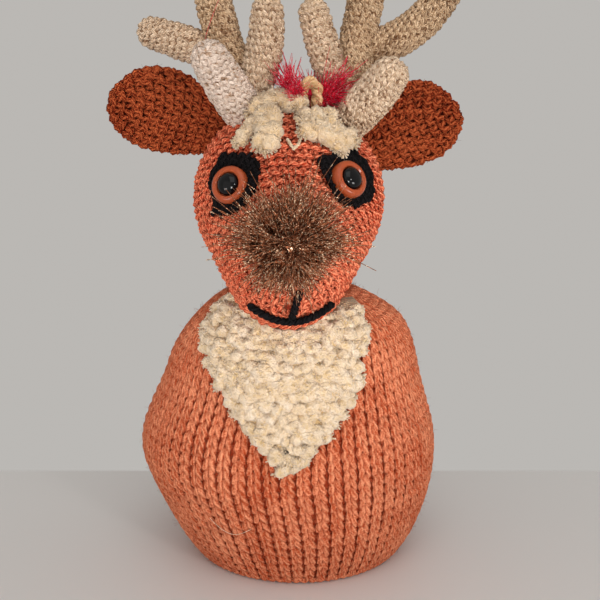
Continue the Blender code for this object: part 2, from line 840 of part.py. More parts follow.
def lock_ball(name, finish, centre, core, lengths, forward, divisions, head, tubes):
    """A ball with a three-sided lock on each face that has room for one. It lies in the head's curve."""
    random = np.random.default_rng(7)
    bm = bmesh.new()
    bmesh.ops.create_icosphere(bm, subdivisions=divisions, radius=core)
    bmesh.ops.translate(bm, vec=centre, verts=bm.verts)
    for face in list(bm.faces):
        middle = face.calc_center_median()
        heading = (middle - centre).normalized()
        stray = Vector(random.uniform(-0.12, 0.12, 3))
        share = random.uniform(0, 1)
        ahead = ease(0.5 + 0.6 * heading.dot(forward))
        wanted = (lengths[0] + (lengths[1] - lengths[0]) * share) * (0.55 + 0.45 * ahead)
        heading = (heading + stray).normalized()
        length = free_length(middle, heading, wanted, tubes, LOCK_LEAST)
        bare = random.uniform(0, 1) > LOCK_SHARE
        if bare or length == 0.0 or head_distance(middle) < 2 * MM:
            continue
        apex = bmesh.ops.poke(bm, faces=[face])["verts"][0]
        apex.co = middle + heading * length
    made = object_from(bm, name, finish)
    apply_boolean(made, head, "DIFFERENCE")
    return made


def strand_bmesh(start, bend, end, radius, phase):
    """A fat, lumpy strand of chenille along the head's crown, with round ends."""
    radius *= MM
    lifted = CRANIUM_RADIUS + SEAM_GAP + radius * (1 + STRAND_LUMP)
    spots = [CRANIUM + lifted * direction_of(*d) for d in (start, bend, end)]
    rings = []
    for k in range(STRAND_STEPS + 1):
        t = k / STRAND_STEPS
        centre = through(*spots, t)
        centre = CRANIUM + (centre - CRANIUM).normalized() * lifted
        heading = through(*spots, t + 0.02) - through(*spots, t - 0.02)
        swell = 1 + STRAND_LUMP * math.sin(2.6 * k + phase)
        end_taper = math.sqrt(max(0.12, 1 - (2 * t - 1) ** 8))
        frame = frame_along(heading, centre, centre - CRANIUM)
        ring = []
        for a in (math.tau * n / STRAND_SIDES for n in range(STRAND_SIDES)):
            reach = radius * swell * end_taper
            ring.append(frame @ Vector((reach * math.cos(a), reach * math.sin(a), 0)))
        rings.append(ring)
    return loft(rings)


def forelocks(head, tine_cutters):
    """Each side's strands joined into one solid, and cut clear of the head and the antlers."""
    made = {}
    for number, (name, start, bend, end, radius) in enumerate(STRANDS):
        strand = object_from(
            strand_bmesh(start, bend, end, radius, number), f"strand_{number}", "cream_chenille"
        )
        if name in made:
            apply_boolean(made[name], strand, "UNION")
            bpy.data.objects.remove(strand)
        else:
            strand.name = name
            made[name] = strand
    for lock in made.values():
        apply_boolean(lock, head, "DIFFERENCE")
        for cutter in tine_cutters.values():
            apply_boolean(lock, cutter, "DIFFERENCE")
        smooth(lock)
    return list(made.values())


# ---------------------------------------------------------------- the whole


def centre_on_base(pieces):
    """Moves everything sideways so that the middle of the whole's box is over the origin."""
    bpy.context.view_layer.update()
    corners = [piece.matrix_world @ Vector(c) for piece in pieces for c in piece.bound_box]
    for axis in (0, 1):
        values = [corner[axis] for corner in corners]
        shift = -(min(values) + max(values)) / 2
        for piece in pieces:
            piece.location[axis] += shift


def main():
    clear_scene()
    head = smooth(object_from(head_bmesh(0.0), "head", "rust_wool"))
    round_head = head_cutter()
    over_patch = cutter_from(
        object_from(head_bmesh(PATCH_THICKNESS + 2 * SEAM_GAP), "patch_cutter", "rust_wool")
    )
    pieces = [panel("body_front", 1), panel("body_back", -1), head, bib()]
    pieces += [ear(*row, round_head) for row in EARS_MM]
    tines, tine_cutters = antlers(round_head)
    pieces += tines
    for side in ("left", "right"):
        pieces.append(patch(side, round_head))
        pieces += eye(side, over_patch)
    pieces += mouth()
    tubes = obstacles()
    front = Vector((0, -1, 0.1))
    nose_centre = MUZZLE + NOSE_DISTANCE * direction_of(*NOSE_DIRECTION)
    pieces.append(
        lock_ball(
            "nose_pompom", "brown_tinsel", nose_centre, NOSE_CORE, NOSE_LOCKS, front, 3, round_head, tubes
        )
    )
    pieces += forelocks(round_head, tine_cutters)
    loop_points = [Vector(p) * MM for p in YARN_LOOP_MM]
    pieces.append(yarn("forelock_loop", loop_points, YARN_LOOP_RADIUS, "cream_chenille"))
    upward = Vector((0.4, -0.3, 1.0)).normalized()
    pieces.append(
        lock_ball(
            "tinsel_tuft", "red_tinsel", TUFT_CENTRE, TUFT_CORE, TUFT_LOCKS, upward, 2, round_head, tubes
        )
    )
    centre_on_base(pieces)


main()
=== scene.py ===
# %% [markdown]
# # A knitted tea cosy with a deer's head
#
# The cosy's solids come packed from its CAD model: two knitted panels, a stuffed head with ears and
# antlers, toy eyes, a stitched mouth, a pompom nose and chenille trimmings. They are right in size and
# place and plain in looks. This lesson dresses each of them in its own stitches, pile and finish.
#
# A knitted thing could be given its stitches by a bump texture. Seen this close, the yarn casts shadows
# and makes the outline knobbly, so the stitches here are real strands of yarn, laid on the CAD model's
# own forms.

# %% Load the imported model
import math

import bpy
import numpy as np
from mathutils import Matrix, Vector
from mathutils.bvhtree import BVHTree


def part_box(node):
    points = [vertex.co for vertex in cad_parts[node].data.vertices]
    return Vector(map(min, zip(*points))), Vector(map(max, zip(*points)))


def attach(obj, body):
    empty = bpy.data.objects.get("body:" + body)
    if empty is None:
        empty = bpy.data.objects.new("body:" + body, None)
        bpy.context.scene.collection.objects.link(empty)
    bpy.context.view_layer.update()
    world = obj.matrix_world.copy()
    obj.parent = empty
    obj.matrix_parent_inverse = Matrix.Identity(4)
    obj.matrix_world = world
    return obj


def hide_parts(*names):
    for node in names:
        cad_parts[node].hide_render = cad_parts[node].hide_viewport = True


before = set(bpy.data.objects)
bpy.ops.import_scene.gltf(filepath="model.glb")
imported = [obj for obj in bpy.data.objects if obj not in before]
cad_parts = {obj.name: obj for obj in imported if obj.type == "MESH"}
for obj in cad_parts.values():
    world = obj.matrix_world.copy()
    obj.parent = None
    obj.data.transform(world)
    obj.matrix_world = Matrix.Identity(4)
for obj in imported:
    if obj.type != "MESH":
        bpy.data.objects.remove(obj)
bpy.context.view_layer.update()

# %% [markdown]
# ## Where the head is
#
# Most sizes below are measured from the head, a ball with a smaller ball in front of it for the muzzle.
# The CAD model is centred over its own base, so the head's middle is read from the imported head's box.
# Every other place is given in millimetres as it was drawn, and `placed` brings it here.

# %% Find the head
MM = 0.001
CRANIUM_RADIUS, MUZZLE_RADIUS, MUZZLE_REACH = 50.3 * MM, 30.0 * MM, 57.5 * MM
MUZZLE_DROP = math.radians(33)
HEAD_AXIS = np.array((0, -math.cos(MUZZLE_DROP), -math.sin(MUZZLE_DROP)))
CRANIUM_DRAWN_MM = np.array((-1.0, -12.0, 201.0))


def box_of(node):
    """The lowest and the highest corner of a CAD node's box."""
    return [np.array(corner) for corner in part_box(node)]


head_low, head_high = box_of("head")
CRANIUM = np.array(((head_low[0] + head_high[0]) / 2, *(head_high[1:] - CRANIUM_RADIUS)))
MUZZLE = CRANIUM + MUZZLE_REACH * HEAD_AXIS
SHIFT = CRANIUM - CRANIUM_DRAWN_MM * MM


def placed(drawn_mm):
    return np.array(drawn_mm) * MM + SHIFT


print("the model was moved by", np.round(SHIFT / MM, 2), "mm to stand over its origin")

# %% [markdown]
# ## Camera
#
# The photograph looks down a little, from close by. A picture of 600 pixels whose lens sees 41 degrees
# gives the same spread of the base and the antlers.

# %% Place the camera
PICTURE, FOCAL = 600, 800  # pixels
CAMERA_TILT = math.radians(80)
CAMERA_PLACE = placed((5.0, -449.0, 222.0))
bpy.ops.object.camera_add(location=CAMERA_PLACE, rotation=(CAMERA_TILT, 0, 0))
camera = bpy.context.object
camera.data.angle = 2 * math.atan(PICTURE / 2 / FOCAL)
camera.data.clip_start = 0.01
bpy.context.scene.camera = camera
print("the lens sees", round(math.degrees(camera.data.angle), 1), "degrees")

# %% [markdown]
# ## A small language for materials
#
# Every finish here is a material made of nodes. Wired by hand, a yarn's twist would be a dozen boxes. A
# small class lets sockets be added, multiplied and taken away like numbers.

# %% Write sums on sockets
class Socket:
    """The output of a node. Python's operators on it add Math nodes."""

    def __init__(self, finish, output):
        self.finish, self.output = finish, output

    def maths(self, operation, first, second):
        return self.finish.node("ShaderNodeMath", {"operation": operation}, {0: first, 1: second})

    def __add__(self, other):
        return self.maths("ADD", self, other)

    def __sub__(self, other):
        return self.maths("SUBTRACT", self, other)

    def __mul__(self, other):
        return self.maths("MULTIPLY", self, other)

    def wave(self):
        """A smooth wave from 0 to 1, once for each whole number."""
        return self.maths("SINE", self * math.tau, 0.0) * 0.5 + 0.5

    def clamped(self):
        """The same, but never under 0 or over 1."""
        return self.finish.node("ShaderNodeClamp", None, {0: self})


print("sums on sockets are ready")

# %% [markdown]
# A finish holds a material and the name of the CAD slot that it matches. One method adds any node. The
# others do what several finishes need: they mix colours, speckle them or raise a bump.

# %% Make a finish
class Finish:
    """A material on Blender's Principled shader, and the name of the CAD model's material slot that it
    matches.
    """

    def __init__(self, name, slot=None, gloss=0.5, **constants):
        self.slot, self.material = slot, bpy.data.materials.new(name)
        self.material.use_nodes = True
        self.tree = self.material.node_tree
        self.shader = self.tree.nodes["Principled BSDF"]
        self.shader.inputs["Specular IOR Level"].default_value = gloss
        for socket, value in constants.items():
            self.shader.inputs[socket.replace("_", " ").title()].default_value = value

    def node(self, kind, settings=None, sockets=None, output=0):
        made = self.tree.nodes.new(kind)
        for setting, value in (settings or {}).items():
            setattr(made, setting, value)
        for socket, value in (sockets or {}).items():
            if isinstance(value, Socket):
                self.tree.links.new(value.output, made.inputs[socket])
            else:
                made.inputs[socket].default_value = value
        return Socket(self, made.outputs[output])

    def blend(self, share, first, second):
        """The first colour where the share is 0, and the second where it is 1."""
        first, second = ((*c, 1) if isinstance(c, tuple) else c for c in (first, second))
        return self.node("ShaderNodeMix", {"data_type": "RGBA"}, {0: share, 6: first, 7: second}, 2)

    def speckle(self, scale, detail=2.0, over=None):
        """Blender's cloudy noise, over the object's own coordinates in metres or over two sockets."""
        if over:
            spot = self.node("ShaderNodeCombineXYZ", None, dict(enumerate(over)))
        else:
            spot = self.node("ShaderNodeTexCoord", output="Object")
        return self.node("ShaderNodeTexNoise", None, {"Vector": spot, "Scale": scale, "Detail": detail})

    def shade(self):
        """The mesh's own `shade`, painted shade: 1 on top, and 0 deep between the strands."""
        return self.node("ShaderNodeAttribute", {"attribute_name": "shade"}, output="Fac")

    def feed(self, socket, value):
        self.tree.links.new(value.output, self.shader.inputs[socket])

    def mottle(self, speckles, first, second):
        self.feed("Base Color", self.blend(speckles, first, second))

    def raise_by(self, height, metres):
        """Feeds a height into a bump."""
        self.feed("Normal", self.node("ShaderNodeBump", None, {"Height": height, "Distance": metres}))


print("finishes can be made")

# %% [markdown]
# ## The floor
#
# The photograph shows a pale table top that ends a little way behind the cosy. The table's far edge is
# where the picture has its horizon, so its distance follows from the camera's height.

# %% Make the floor
HORIZON_ROW = 470  # pixels from the picture's top
TABLE_FRONT, TABLE_WIDTH, TABLE_THICKNESS, TABLE_BEVEL = -1.3, 3.2, 0.03, 1.5 * MM
below_level = (math.pi / 2 - CAMERA_TILT) + math.atan((HORIZON_ROW - PICTURE / 2) / FOCAL)
table_end = CAMERA_PLACE[1] + CAMERA_PLACE[2] / math.tan(below_level)

bpy.ops.object.select_all(action="DESELECT")
table_middle = (0, (table_end + TABLE_FRONT) / 2, -TABLE_THICKNESS / 2)
bpy.ops.mesh.primitive_cube_add(size=1, location=table_middle)
table = bpy.context.object
table.name = "table_top"
table.scale = (TABLE_WIDTH, table_end - TABLE_FRONT, TABLE_THICKNESS)
bpy.ops.object.transform_apply(location=True, rotation=False, scale=True)
bevel = table.modifiers.new("rounded edge", "BEVEL")
bevel.width, bevel.segments = TABLE_BEVEL, 3
bpy.ops.object.modifier_apply(modifier=bevel.name)

paint = Finish("table_paint", roughness=0.55)
paint.mottle(paint.speckle(3.0, 1.0), (0.70, 0.69, 0.68), (0.76, 0.755, 0.745))
table.data.materials.append(paint.material)
print("the table ends", round(table_end / MM), "mm behind the origin")

# %% [markdown]
# ## The light
#
# A grey wall fills the photograph's background. Here it is the world's own colour, so that it never
# stands in the way of a view from behind. Three soft lamps light the cosy, and three low narrow ones give
# the glow that a bright table throws up at it.

# %% Set the lights
WALL_COLOUR = (0.495, 0.478, 0.456, 1)
LAMP_AIM = Vector((0, 0, 0.16))
# name, place, size, watts, colour, width of the beam in degrees
LAMPS = [
    ("window", (0.70, -1.05, 0.50), 0.13, 2.0, (1.0, 0.97, 0.93), 180),
    ("room", (-0.75, -1.05, 0.35), 1.2, 1.2, (1.0, 0.96, 0.92), 180),
    ("ceiling", (0.1, -0.75, 1.2), 1.0, 3.6, (1.0, 0.98, 0.96), 180),
    ("table_glow_right", (0.42, -0.41, 0.05), 0.20, 0.11, (1.0, 0.98, 0.95), 44),
    ("table_glow_left", (-0.42, -0.43, 0.05), 0.20, 0.08, (1.0, 0.98, 0.95), 44),
    ("table_glow_front", (0.03, -0.75, 0.06), 0.20, 0.20, (1.0, 0.98, 0.95), 40),
]
world = bpy.data.worlds.new("wall")
world.use_nodes = True
world.node_tree.nodes["Background"].inputs["Color"].default_value = WALL_COLOUR
bpy.context.scene.world = world
bpy.context.scene.view_settings.view_transform = "Standard"
for name, place, size, power, colour, beam in LAMPS:
    bpy.ops.object.light_add(type="AREA", location=place)
    lamp = bpy.context.object
    lamp.name = name
    lamp.data.size, lamp.data.energy, lamp.data.color = size, power, colour
    lamp.data.spread = math.radians(beam)
    lamp.rotation_euler = (LAMP_AIM - lamp.location).to_track_quat("-Z", "Y").to_euler()
print(len(LAMPS), "soft lamps are on")

# %% [markdown]
# ## Wool
#
# Yarn is several plies twisted round each other, and each ply is a bundle of fibres. A strand's UV map
# runs along it and once around it, so a wave over both paints the slanting plies, lighter on top and
# darker between them as painted shade, and noise stretched the same way gives the fibres. The strand's
# own `shade` paints shade where it lies deep, and its sides are painted darker than its top as painted
# shade. A marled yarn also has darker flecks along its plies.

# %% Spin the wool
YARN_LEAD = 10 * MM  # the length of yarn that the UV map counts as one
PLIES = 4
PATCHES, FLECKS, GRAIN = 38.0, 320.0, 1100.0  # noise scales, from wide patches to single fibres
YARN_BUMP = 0.7 * MM  # how high plies and fibres stand


def wool(name, slot, light, dark, deep, turns=1.1, fleck=None, painted_flank_shade=0.5, gloss=0.08):
    """A finish for spun yarn. Deep is the painted shade between strands. painted_flank_shade is the share
    of brightness left on a strand's sides, where shade is painted.
    """
    finish = Finish(name, slot, gloss, roughness=0.9)
    uv = finish.node("ShaderNodeUVMap", {"uv_map": "yarn"})
    along, around = (finish.node("ShaderNodeSeparateXYZ", None, {0: uv}, k) for k in (0, 1))
    ply = around * PLIES - along * (PLIES * turns)
    fibres = finish.speckle(1.0, 3.0, (ply * 1.7, along * 1.5))
    grain = finish.speckle(GRAIN)
    # painted shade: the ply wave darkens the grooves between plies; fibres, grain and patches are the
    # yarn's own uneven tone
    tone = ply.wave() * 0.5 + fibres * 2.1 + grain * 2.3 + finish.speckle(PATCHES) * 0.9 - 2.35
    colour = finish.blend(tone.clamped(), dark, light)
    if fleck:
        streaks = finish.speckle(1.0, 1.0, (ply * 0.9, along * 3.2))
        flecks = (streaks * 0.6 + finish.speckle(FLECKS) * 0.6 - 0.63) * 16.0
        colour = finish.blend(flecks.clamped() * 0.8, colour, fleck)
    # painted shade: a strand's sides are darker than its crest, and what lies deep takes the deep colour
    painted_crest_share = (around.wave() * 2.6 - 1.2).clamped()
    finish.mottle(finish.shade() * (painted_crest_share * (1 - painted_flank_shade) + painted_flank_shade), deep, colour)
    finish.raise_by(ply.wave() * 0.6 + fibres * 0.9 + grain * 0.5, YARN_BUMP)
    return finish


RUST = wool(
    "rust_yarn", "rust_wool", (0.77, 0.285, 0.150), (0.43, 0.070, 0.023), (0.25, 0.018, 0.002),
    turns=0.45, painted_flank_shade=0.48,
)
RUST_HEAD = wool(
    "rust_yarn_head", "rust_wool", (0.89, 0.278, 0.148), (0.43, 0.034, 0.010), (0.17, 0.005, 0.001),
    painted_flank_shade=0.48,
)
# the rust wool again, painted much darker for the ears as painted shade
RUST_EARS_SHADED = wool(
    "rust_yarn_ears_shaded", "rust_wool", (0.40, 0.086, 0.028), (0.12, 0.007, 0.001), (0.03, 0.001, 0.0003),
    painted_flank_shade=0.42,
)
BEIGE = wool(
    "beige_marl_yarn", "antler_wool", (0.82, 0.64, 0.48), (0.52, 0.35, 0.22), (0.34, 0.19, 0.10),
    fleck=(0.17, 0.07, 0.025), painted_flank_shade=0.75,
)
BEIGE_PALE = wool(
    "pale_marl_yarn", "antler_wool", (0.76, 0.635, 0.55), (0.62, 0.47, 0.38), (0.55, 0.39, 0.28),
    fleck=(0.38, 0.22, 0.12), painted_flank_shade=0.95,
)
BEIGE_DEEP = wool(
    "tan_marl_yarn", "antler_wool", (0.78, 0.57, 0.38), (0.33, 0.19, 0.095), (0.15, 0.06, 0.02),
    fleck=(0.10, 0.032, 0.010),
)
TAN = wool("tan_yarn", "cream_chenille", (0.95, 0.68, 0.40), (0.60, 0.37, 0.17), (0.22, 0.09, 0.03))
BLACK = wool(
    "black_yarn", "black_wool", (0.010, 0.008, 0.009), (0.003, 0.0025, 0.003), (0.001, 0.001, 0.001),
    gloss=0.1,
)
print("wool in", len([m for m in bpy.data.materials if "yarn" in m.name]), "colours")

# %% [markdown]
# ## Strands of yarn
#
# A strand could be a curve with a bevel, but thousands of curves are slow. All the strands of a piece are
# one mesh instead, worked out at once as arrays: a ring of points round each point of each strand's
# middle line, turned so that it can be flattened against the cloth.

# %% Make tubes from lines
OTHER_WAY = (0, 3, 2, 1)  # the corners of a square, from the same one but round the other way


def unit(vectors):
    return vectors / (np.linalg.norm(vectors, axis=-1, keepdims=True) + 1e-12)


def distances(lines):
    """How far each point of a line, or of several lines at once, is from its start."""
    steps = np.linalg.norm(np.diff(lines, axis=-2), axis=-1)
    return np.concatenate([np.zeros((*steps.shape[:-1], 1)), np.cumsum(steps, axis=-1)], axis=-1)


def squares(grid):
    """The four corners of each square of a grid, in turn."""
    return np.stack([grid[..., :-1, :-1], grid[..., :-1, 1:], grid[..., 1:, 1:], grid[..., 1:, :-1]], -1)


def tubes(lines, radii, ups, sides=6, flat=1.0, shade=1.0):
    """A closed tube along each line of an array (lines, points, 3): points, faces with UVs, and shade."""
    count, spots = lines.shape[:2]
    along = distances(lines) / YARN_LEAD
    ahead = unit(np.gradient(lines, axis=1))
    side = unit(np.cross(ahead, np.broadcast_to(ups, lines.shape)))
    up = np.cross(side, ahead) * flat
    turn = np.arange(sides) / sides * math.tau
    ring = side[:, :, None] * np.cos(turn)[:, None] + up[:, :, None] * np.sin(turn)[:, None]
    points = lines[:, :, None] + ring * np.broadcast_to(radii, (count, spots))[:, :, None, None]

    index = np.arange(count * spots * sides).reshape(count, spots, sides)
    around = np.arange(sides + 1)
    quads = squares(index[..., around % sides])[..., OTHER_WAY].reshape(-1, 4)
    uvs = [squares(values) for values in np.broadcast_arrays(along[..., None], around / sides)]
    uvs = np.stack(uvs, -1)[..., OTHER_WAY, :].reshape(-1, 4, 2)
    caps = np.concatenate([index[:, 0], index[:, -1, ::-1]])
    shades = np.repeat(np.broadcast_to(shade, (count, spots)).ravel(), sides)
    return points.reshape(-1, 3), [(quads, uvs), (caps, 0.0)], shades


print("lines can be made into tubes")

# %% [markdown]
# A mesh takes whole arrays in one go, which is far quicker than face after face. Each piece then gets its
# finish, rides on the root, and hides the CAD part that it stands in for.

# %% Build and dress a piece
def dress(piece, finish, node=None):
    """Gives a piece its finish, attaches it to the root, and hides the CAD node that it stands in for, if
    any.
    """
    piece.data.materials.append(finish.material)
    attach(piece, "root")
    if node:
        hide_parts(node)


def build(name, chunks, finish, node=None):
    """One smooth object from chunks of points, faces with UVs, and shade."""
    corners, sizes, uvs, offset = [], [], [], 0
    for points, groups, _ in chunks:
        for faces, face_uvs in groups:
            corners.append((faces + offset).ravel())
            sizes.append(np.full(len(faces), faces.shape[1]))
            uvs.append(np.broadcast_to(face_uvs, (*faces.shape, 2)).ravel())
        offset += len(points)
    points, _, shades = (list(parts) for parts in zip(*chunks))
    corners, sizes = np.concatenate(corners), np.concatenate(sizes)
    mesh = bpy.data.meshes.new(name)
    mesh.vertices.add(offset)
    mesh.vertices.foreach_set("co", np.concatenate(points).ravel())
    mesh.loops.add(len(corners))
    mesh.loops.foreach_set("vertex_index", corners)
    mesh.polygons.add(len(sizes))
    mesh.polygons.foreach_set("loop_start", np.cumsum(sizes) - sizes)
    mesh.update(calc_edges=True)
    mesh.uv_layers.new(name="yarn").data.foreach_set("uv", np.concatenate(uvs))
    mesh.attributes.new("shade", "FLOAT", "POINT").data.foreach_set("value", np.concatenate(shades))
    mesh.shade_smooth()
    made = bpy.data.objects.new(name, mesh)
    bpy.context.scene.collection.objects.link(made)
    dress(made, finish, node)
    print(name, "has", int(np.sum(sizes - 2)), "triangles")
    return made


print("pieces can be built and dressed")

# %% [markdown]
# ## Skins to work on
#
# Every stitch is placed by how far along a form it is, how far around, and how far it stands off. A
# `Skin` holds a form as rings of points, evens out their spacing, and answers with points and outward
# directions.

# %% Describe a form by rings
def between(spots, lengths, values):
    """The values at those spots, where the rows given are for these lengths."""
    return np.stack([np.interp(spots, lengths, values[:, k]) for k in range(3)], axis=1)


def evenly(points, count):
    """That many points along the same line, at an even spacing."""
    lengths = distances(points)
    return between(np.linspace(0, lengths[-1], count), lengths, points)


def inward(points, quads):
    """Whether the quads look towards the middle of their points."""
    corners = points[quads]
    facing = np.cross(corners[:, 1] - corners[:, 0], corners[:, 3] - corners[:, 0])
    return np.sum(facing * (corners.mean(axis=1) - points.mean(axis=0))) < 0


class Skin:
    """A form through rings of points. Closed rings end where they start. Open ones keep their spacing."""

    def __init__(self, rings, closed=True, rows=110, columns=96):
        if closed:
            rings = [evenly(ring, columns + 1) for ring in rings]
        rings = np.array(rings)
        grid = np.stack([evenly(line, rows + 1) for line in rings.swapaxes(0, 1)], axis=1)
        down, across = np.gradient(grid, axis=0), np.gradient(grid, axis=1)
        if closed:
            across[:, 0] = across[:, -1] = grid[:, 1] - grid[:, -2]
        normals = unit(np.cross(across, down))
        if np.sum(normals * (grid - grid.mean(axis=1, keepdims=True))) < 0:
            normals = -normals
        self.grid, self.normals, self.closed = grid, normals, closed
        self.length = np.linalg.norm(np.diff(grid, axis=0), axis=2).sum(axis=0).mean()
        self.girths = np.linalg.norm(np.diff(grid, axis=1), axis=2).sum(axis=1)

    def girth(self, along):
        return np.interp(along, np.linspace(0, self.length, len(self.girths)), self.girths)

    def at(self, along, around, lift):
        """Points, and the outward directions there."""
        rows, columns = (size - 1 for size in self.grid.shape[:2])
        row = np.clip(along / self.length, 0, 1) * rows
        column = (around % 1.0 if self.closed else np.clip(around, 0, 1)) * columns
        i, j = (np.minimum(place.astype(int), top - 1) for place, top in ((row, rows), (column, columns)))
        a, b = (row - i)[..., None], (column - j)[..., None]

        def mixed(values):
            here, below = (values[k, j] * (1 - b) + values[k, j + 1] * b for k in (i, i + 1))
            return here * (1 - a) + below * a

        normals = mixed(self.normals)
        return mixed(self.grid) + normals * np.asarray(lift)[..., None], normals

    def shell(self, lift, shade):
        """A closed form as a mesh, for what lies under the stitches, with its shade as painted shade."""
        grid = (self.grid + self.normals * lift)[::2, :-1:2]
        points = grid.reshape(-1, 3)
        index = np.arange(len(points)).reshape(grid.shape[:2])
        quads = squares(np.hstack([index, index[:, :1]])).reshape(-1, 4)
        caps = np.stack([index[0, ::-1], index[-1]])
        if inward(points, quads):
            quads, caps = quads[:, ::-1], caps[:, ::-1]
        return points, [(quads, 0.0), (caps, 0.0)], np.full(len(points), shade)


print("skins are ready")

# %% [markdown]
# ## The cosy's outline
#
# The knitted hollow is round in plan, a little flatter from front to back, widest at a third of its
# height and gathered in at the neck. The table's rows are those of the CAD model: the real cosy leans and
# swells unevenly, as hand knitting does.

# %% Draw the outline
DEPTH_SHARE = 0.92  # front to back, against side to side
CURVE_STEPS = 120
# height, half-width, how far its middle is sideways, how far it is forward
OUTLINE_MM = np.array([
    (0, 59.0, 4.0, 3.0), (8, 65.0, 3.8, 2.6), (18, 70.8, 3.2, 1.8), (32, 77.0, 2.0, 0.8),
    (46, 81.8, 0.2, 0), (60, 84.4, -1.6, 0), (74, 83.2, -1.8, 0), (88, 78.6, -1.0, 0.5),
    (102, 73.2, 0.4, 1.5), (116, 69.0, 1.4, 3.0), (128, 63.5, 3.0, 5.0), (138, 56.0, 3.8, 7.0),
    (147, 44.5, 2.0, 8.5), (154, 31.5, 0.3, 9.5), (158, 25.0, 0.0, 10.0),
])


def smooth_rows(rows, steps):
    """A smooth curve through the rows of a table."""
    padded = np.vstack([2 * rows[0] - rows[1], rows, 2 * rows[-1] - rows[-2]])
    spots = np.linspace(0, len(rows) - 1, steps)
    index = np.minimum(spots.astype(int), len(rows) - 2)
    t = (spots - index)[:, None]
    before, here, there, after = (padded[index + k] for k in range(4))
    return 0.5 * (
        2 * here
        + (there - before) * t
        + (2 * before - 5 * here + 4 * there - after) * t**2
        + (3 * here - before - 3 * there + after) * t**3
    )


OUTLINE = smooth_rows(OUTLINE_MM * MM, CURVE_STEPS)
print("the outline is", round(2 * OUTLINE[:, 1].max() / MM), "mm wide at its widest")

# %% [markdown]
# The neck is tight round the head, and the chest gives way under the muzzle and the bib. So a ring of the
# wall is pushed off the head wherever it would come too near.

# %% Keep the cloth off the head
CONE_SINE = (CRANIUM_RADIUS - MUZZLE_RADIUS) / MUZZLE_REACH
CONE_TANGENT = CONE_SINE / math.sqrt(1 - CONE_SINE**2)
CLEARANCE = 0.3 * MM
BIB_ROOM = 7.2 * MM  # the bib's thickness and what it rests on
BIB_TOP, BIB_FADE = 152 * MM, 5 * MM  # the bib's top, and how soon the chest gives way under it
SLITS_MM = {-1: (46, 100, 11.0), 1: (34, 120, 7.5)}  # side: low end, high end, half of the opening
SEAM_HALF = 0.15 * MM


def head_gap(points):
    """How far points are outside the stuffed head, and the outward directions there."""
    out = points - CRANIUM
    along = out @ HEAD_AXIS
    aside = np.linalg.norm(out - along[..., None] * HEAD_AXIS, axis=-1)
    reach = np.clip(along - aside * CONE_TANGENT, 0, MUZZLE_REACH)
    out = points - (CRANIUM + reach[..., None] * HEAD_AXIS)
    far = np.linalg.norm(out, axis=-1)
    return far - (CRANIUM_RADIUS - reach * CONE_SINE), out / far[..., None]


def off_head(points, clearance):
    """The points, pushed off the head to that clearance."""
    gap, outward = head_gap(points)
    return points + outward * np.maximum(0, clearance - gap)[..., None]


def ease(value):
    """A smooth step from 0 to 1."""
    t = np.clip(value, 0, 1)
    return t * t * (3 - 2 * t)


def panel_rings(facing, steps=97):
    """The rings of one knitted half, from its left edge to its right one. Facing is 1 for the front.

    A column of stitches keeps to its own angle round the cosy, and only those near a slit give way to it.
    """
    rings = []
    share = np.linspace(-1, 1, steps)
    for height, half_width, sideways, forward in OUTLINE:
        lacks = []
        for low, high, half in SLITS_MM.values():
            up = np.clip((height / MM - low) / (high - low), 0, 1)
            opening = SEAM_HALF + half * MM * math.sin(math.pi * up) ** 0.7
            lacks.append(math.pi / 2 - math.acos(opening / (DEPTH_SHARE * half_width)))
        lack = np.where(share < 0, *lacks)
        turn = share * math.pi / 2 - np.sign(share) * lack * np.abs(share) ** 7
        across = sideways + half_width * np.sin(turn)
        back = -forward - facing * DEPTH_SHARE * half_width * np.cos(turn)
        ring = np.stack([across, back, np.full(steps, height)], axis=1) + SHIFT * (1, 1, 0)
        chest = ease((facing * np.cos(turn) + 0.1) / 0.4) * ease((BIB_TOP - height) / BIB_FADE)
        rings.append(off_head(ring, CLEARANCE + chest * BIB_ROOM))
    return rings


skins = {"front": Skin(panel_rings(1), closed=False), "back": Skin(panel_rings(-1), closed=False)}
print("from hem to neck the cloth is", round(skins["front"].length / MM), "mm")

# %% [markdown]
# ## Stocking stitch
#
# A knitted row is one strand that runs in loops: up one leg, round a head, down the other leg, and on to
# the next stitch. The legs come forward and make the columns of V that show, while heads and feet lie
# behind. A sine in each direction draws it: sideways with a second wave for the loop's narrow waist,
# upward, and in depth. There is a deep furrow down the middle of each V and a shallow one between
# columns.

# %% Knit the panels
WALES = (32, 24, 16)  # stitches in a row: fewer where the shoulder was decreased
STITCH_WIDTH, NARROWEST_STITCH = 7.9 * MM, 4.6 * MM  # the first is where the cosy is widest
ROW_HEIGHT, ROW_MIDDLE = 5.7 * MM, 0.62
STITCH_POINTS = 11
# shares of a stitch's width, and of a row's height
LOOP_WAIST, LOOP_SPREAD, LOOP_RISE = 0.20, 0.055, 0.86
LOOP_DEPTH = 1.3 * MM
YARN_RADIUS, YARN_FLAT = 1.9 * MM, 0.86
CREST = 0.4 * MM  # above the CAD panel's own surface
WANDER_KNOTS = 40  # a row's uneven tension is drawn at so many stitches
# how uneven the stitches are, sideways as a share of their width, upward, and in radius and shade
UNEVEN_PLACE, UNEVEN_HEIGHT, UNEVEN_RADIUS, UNEVEN_SHADE = 0.035, 0.25 * MM, 0.04, 0.07


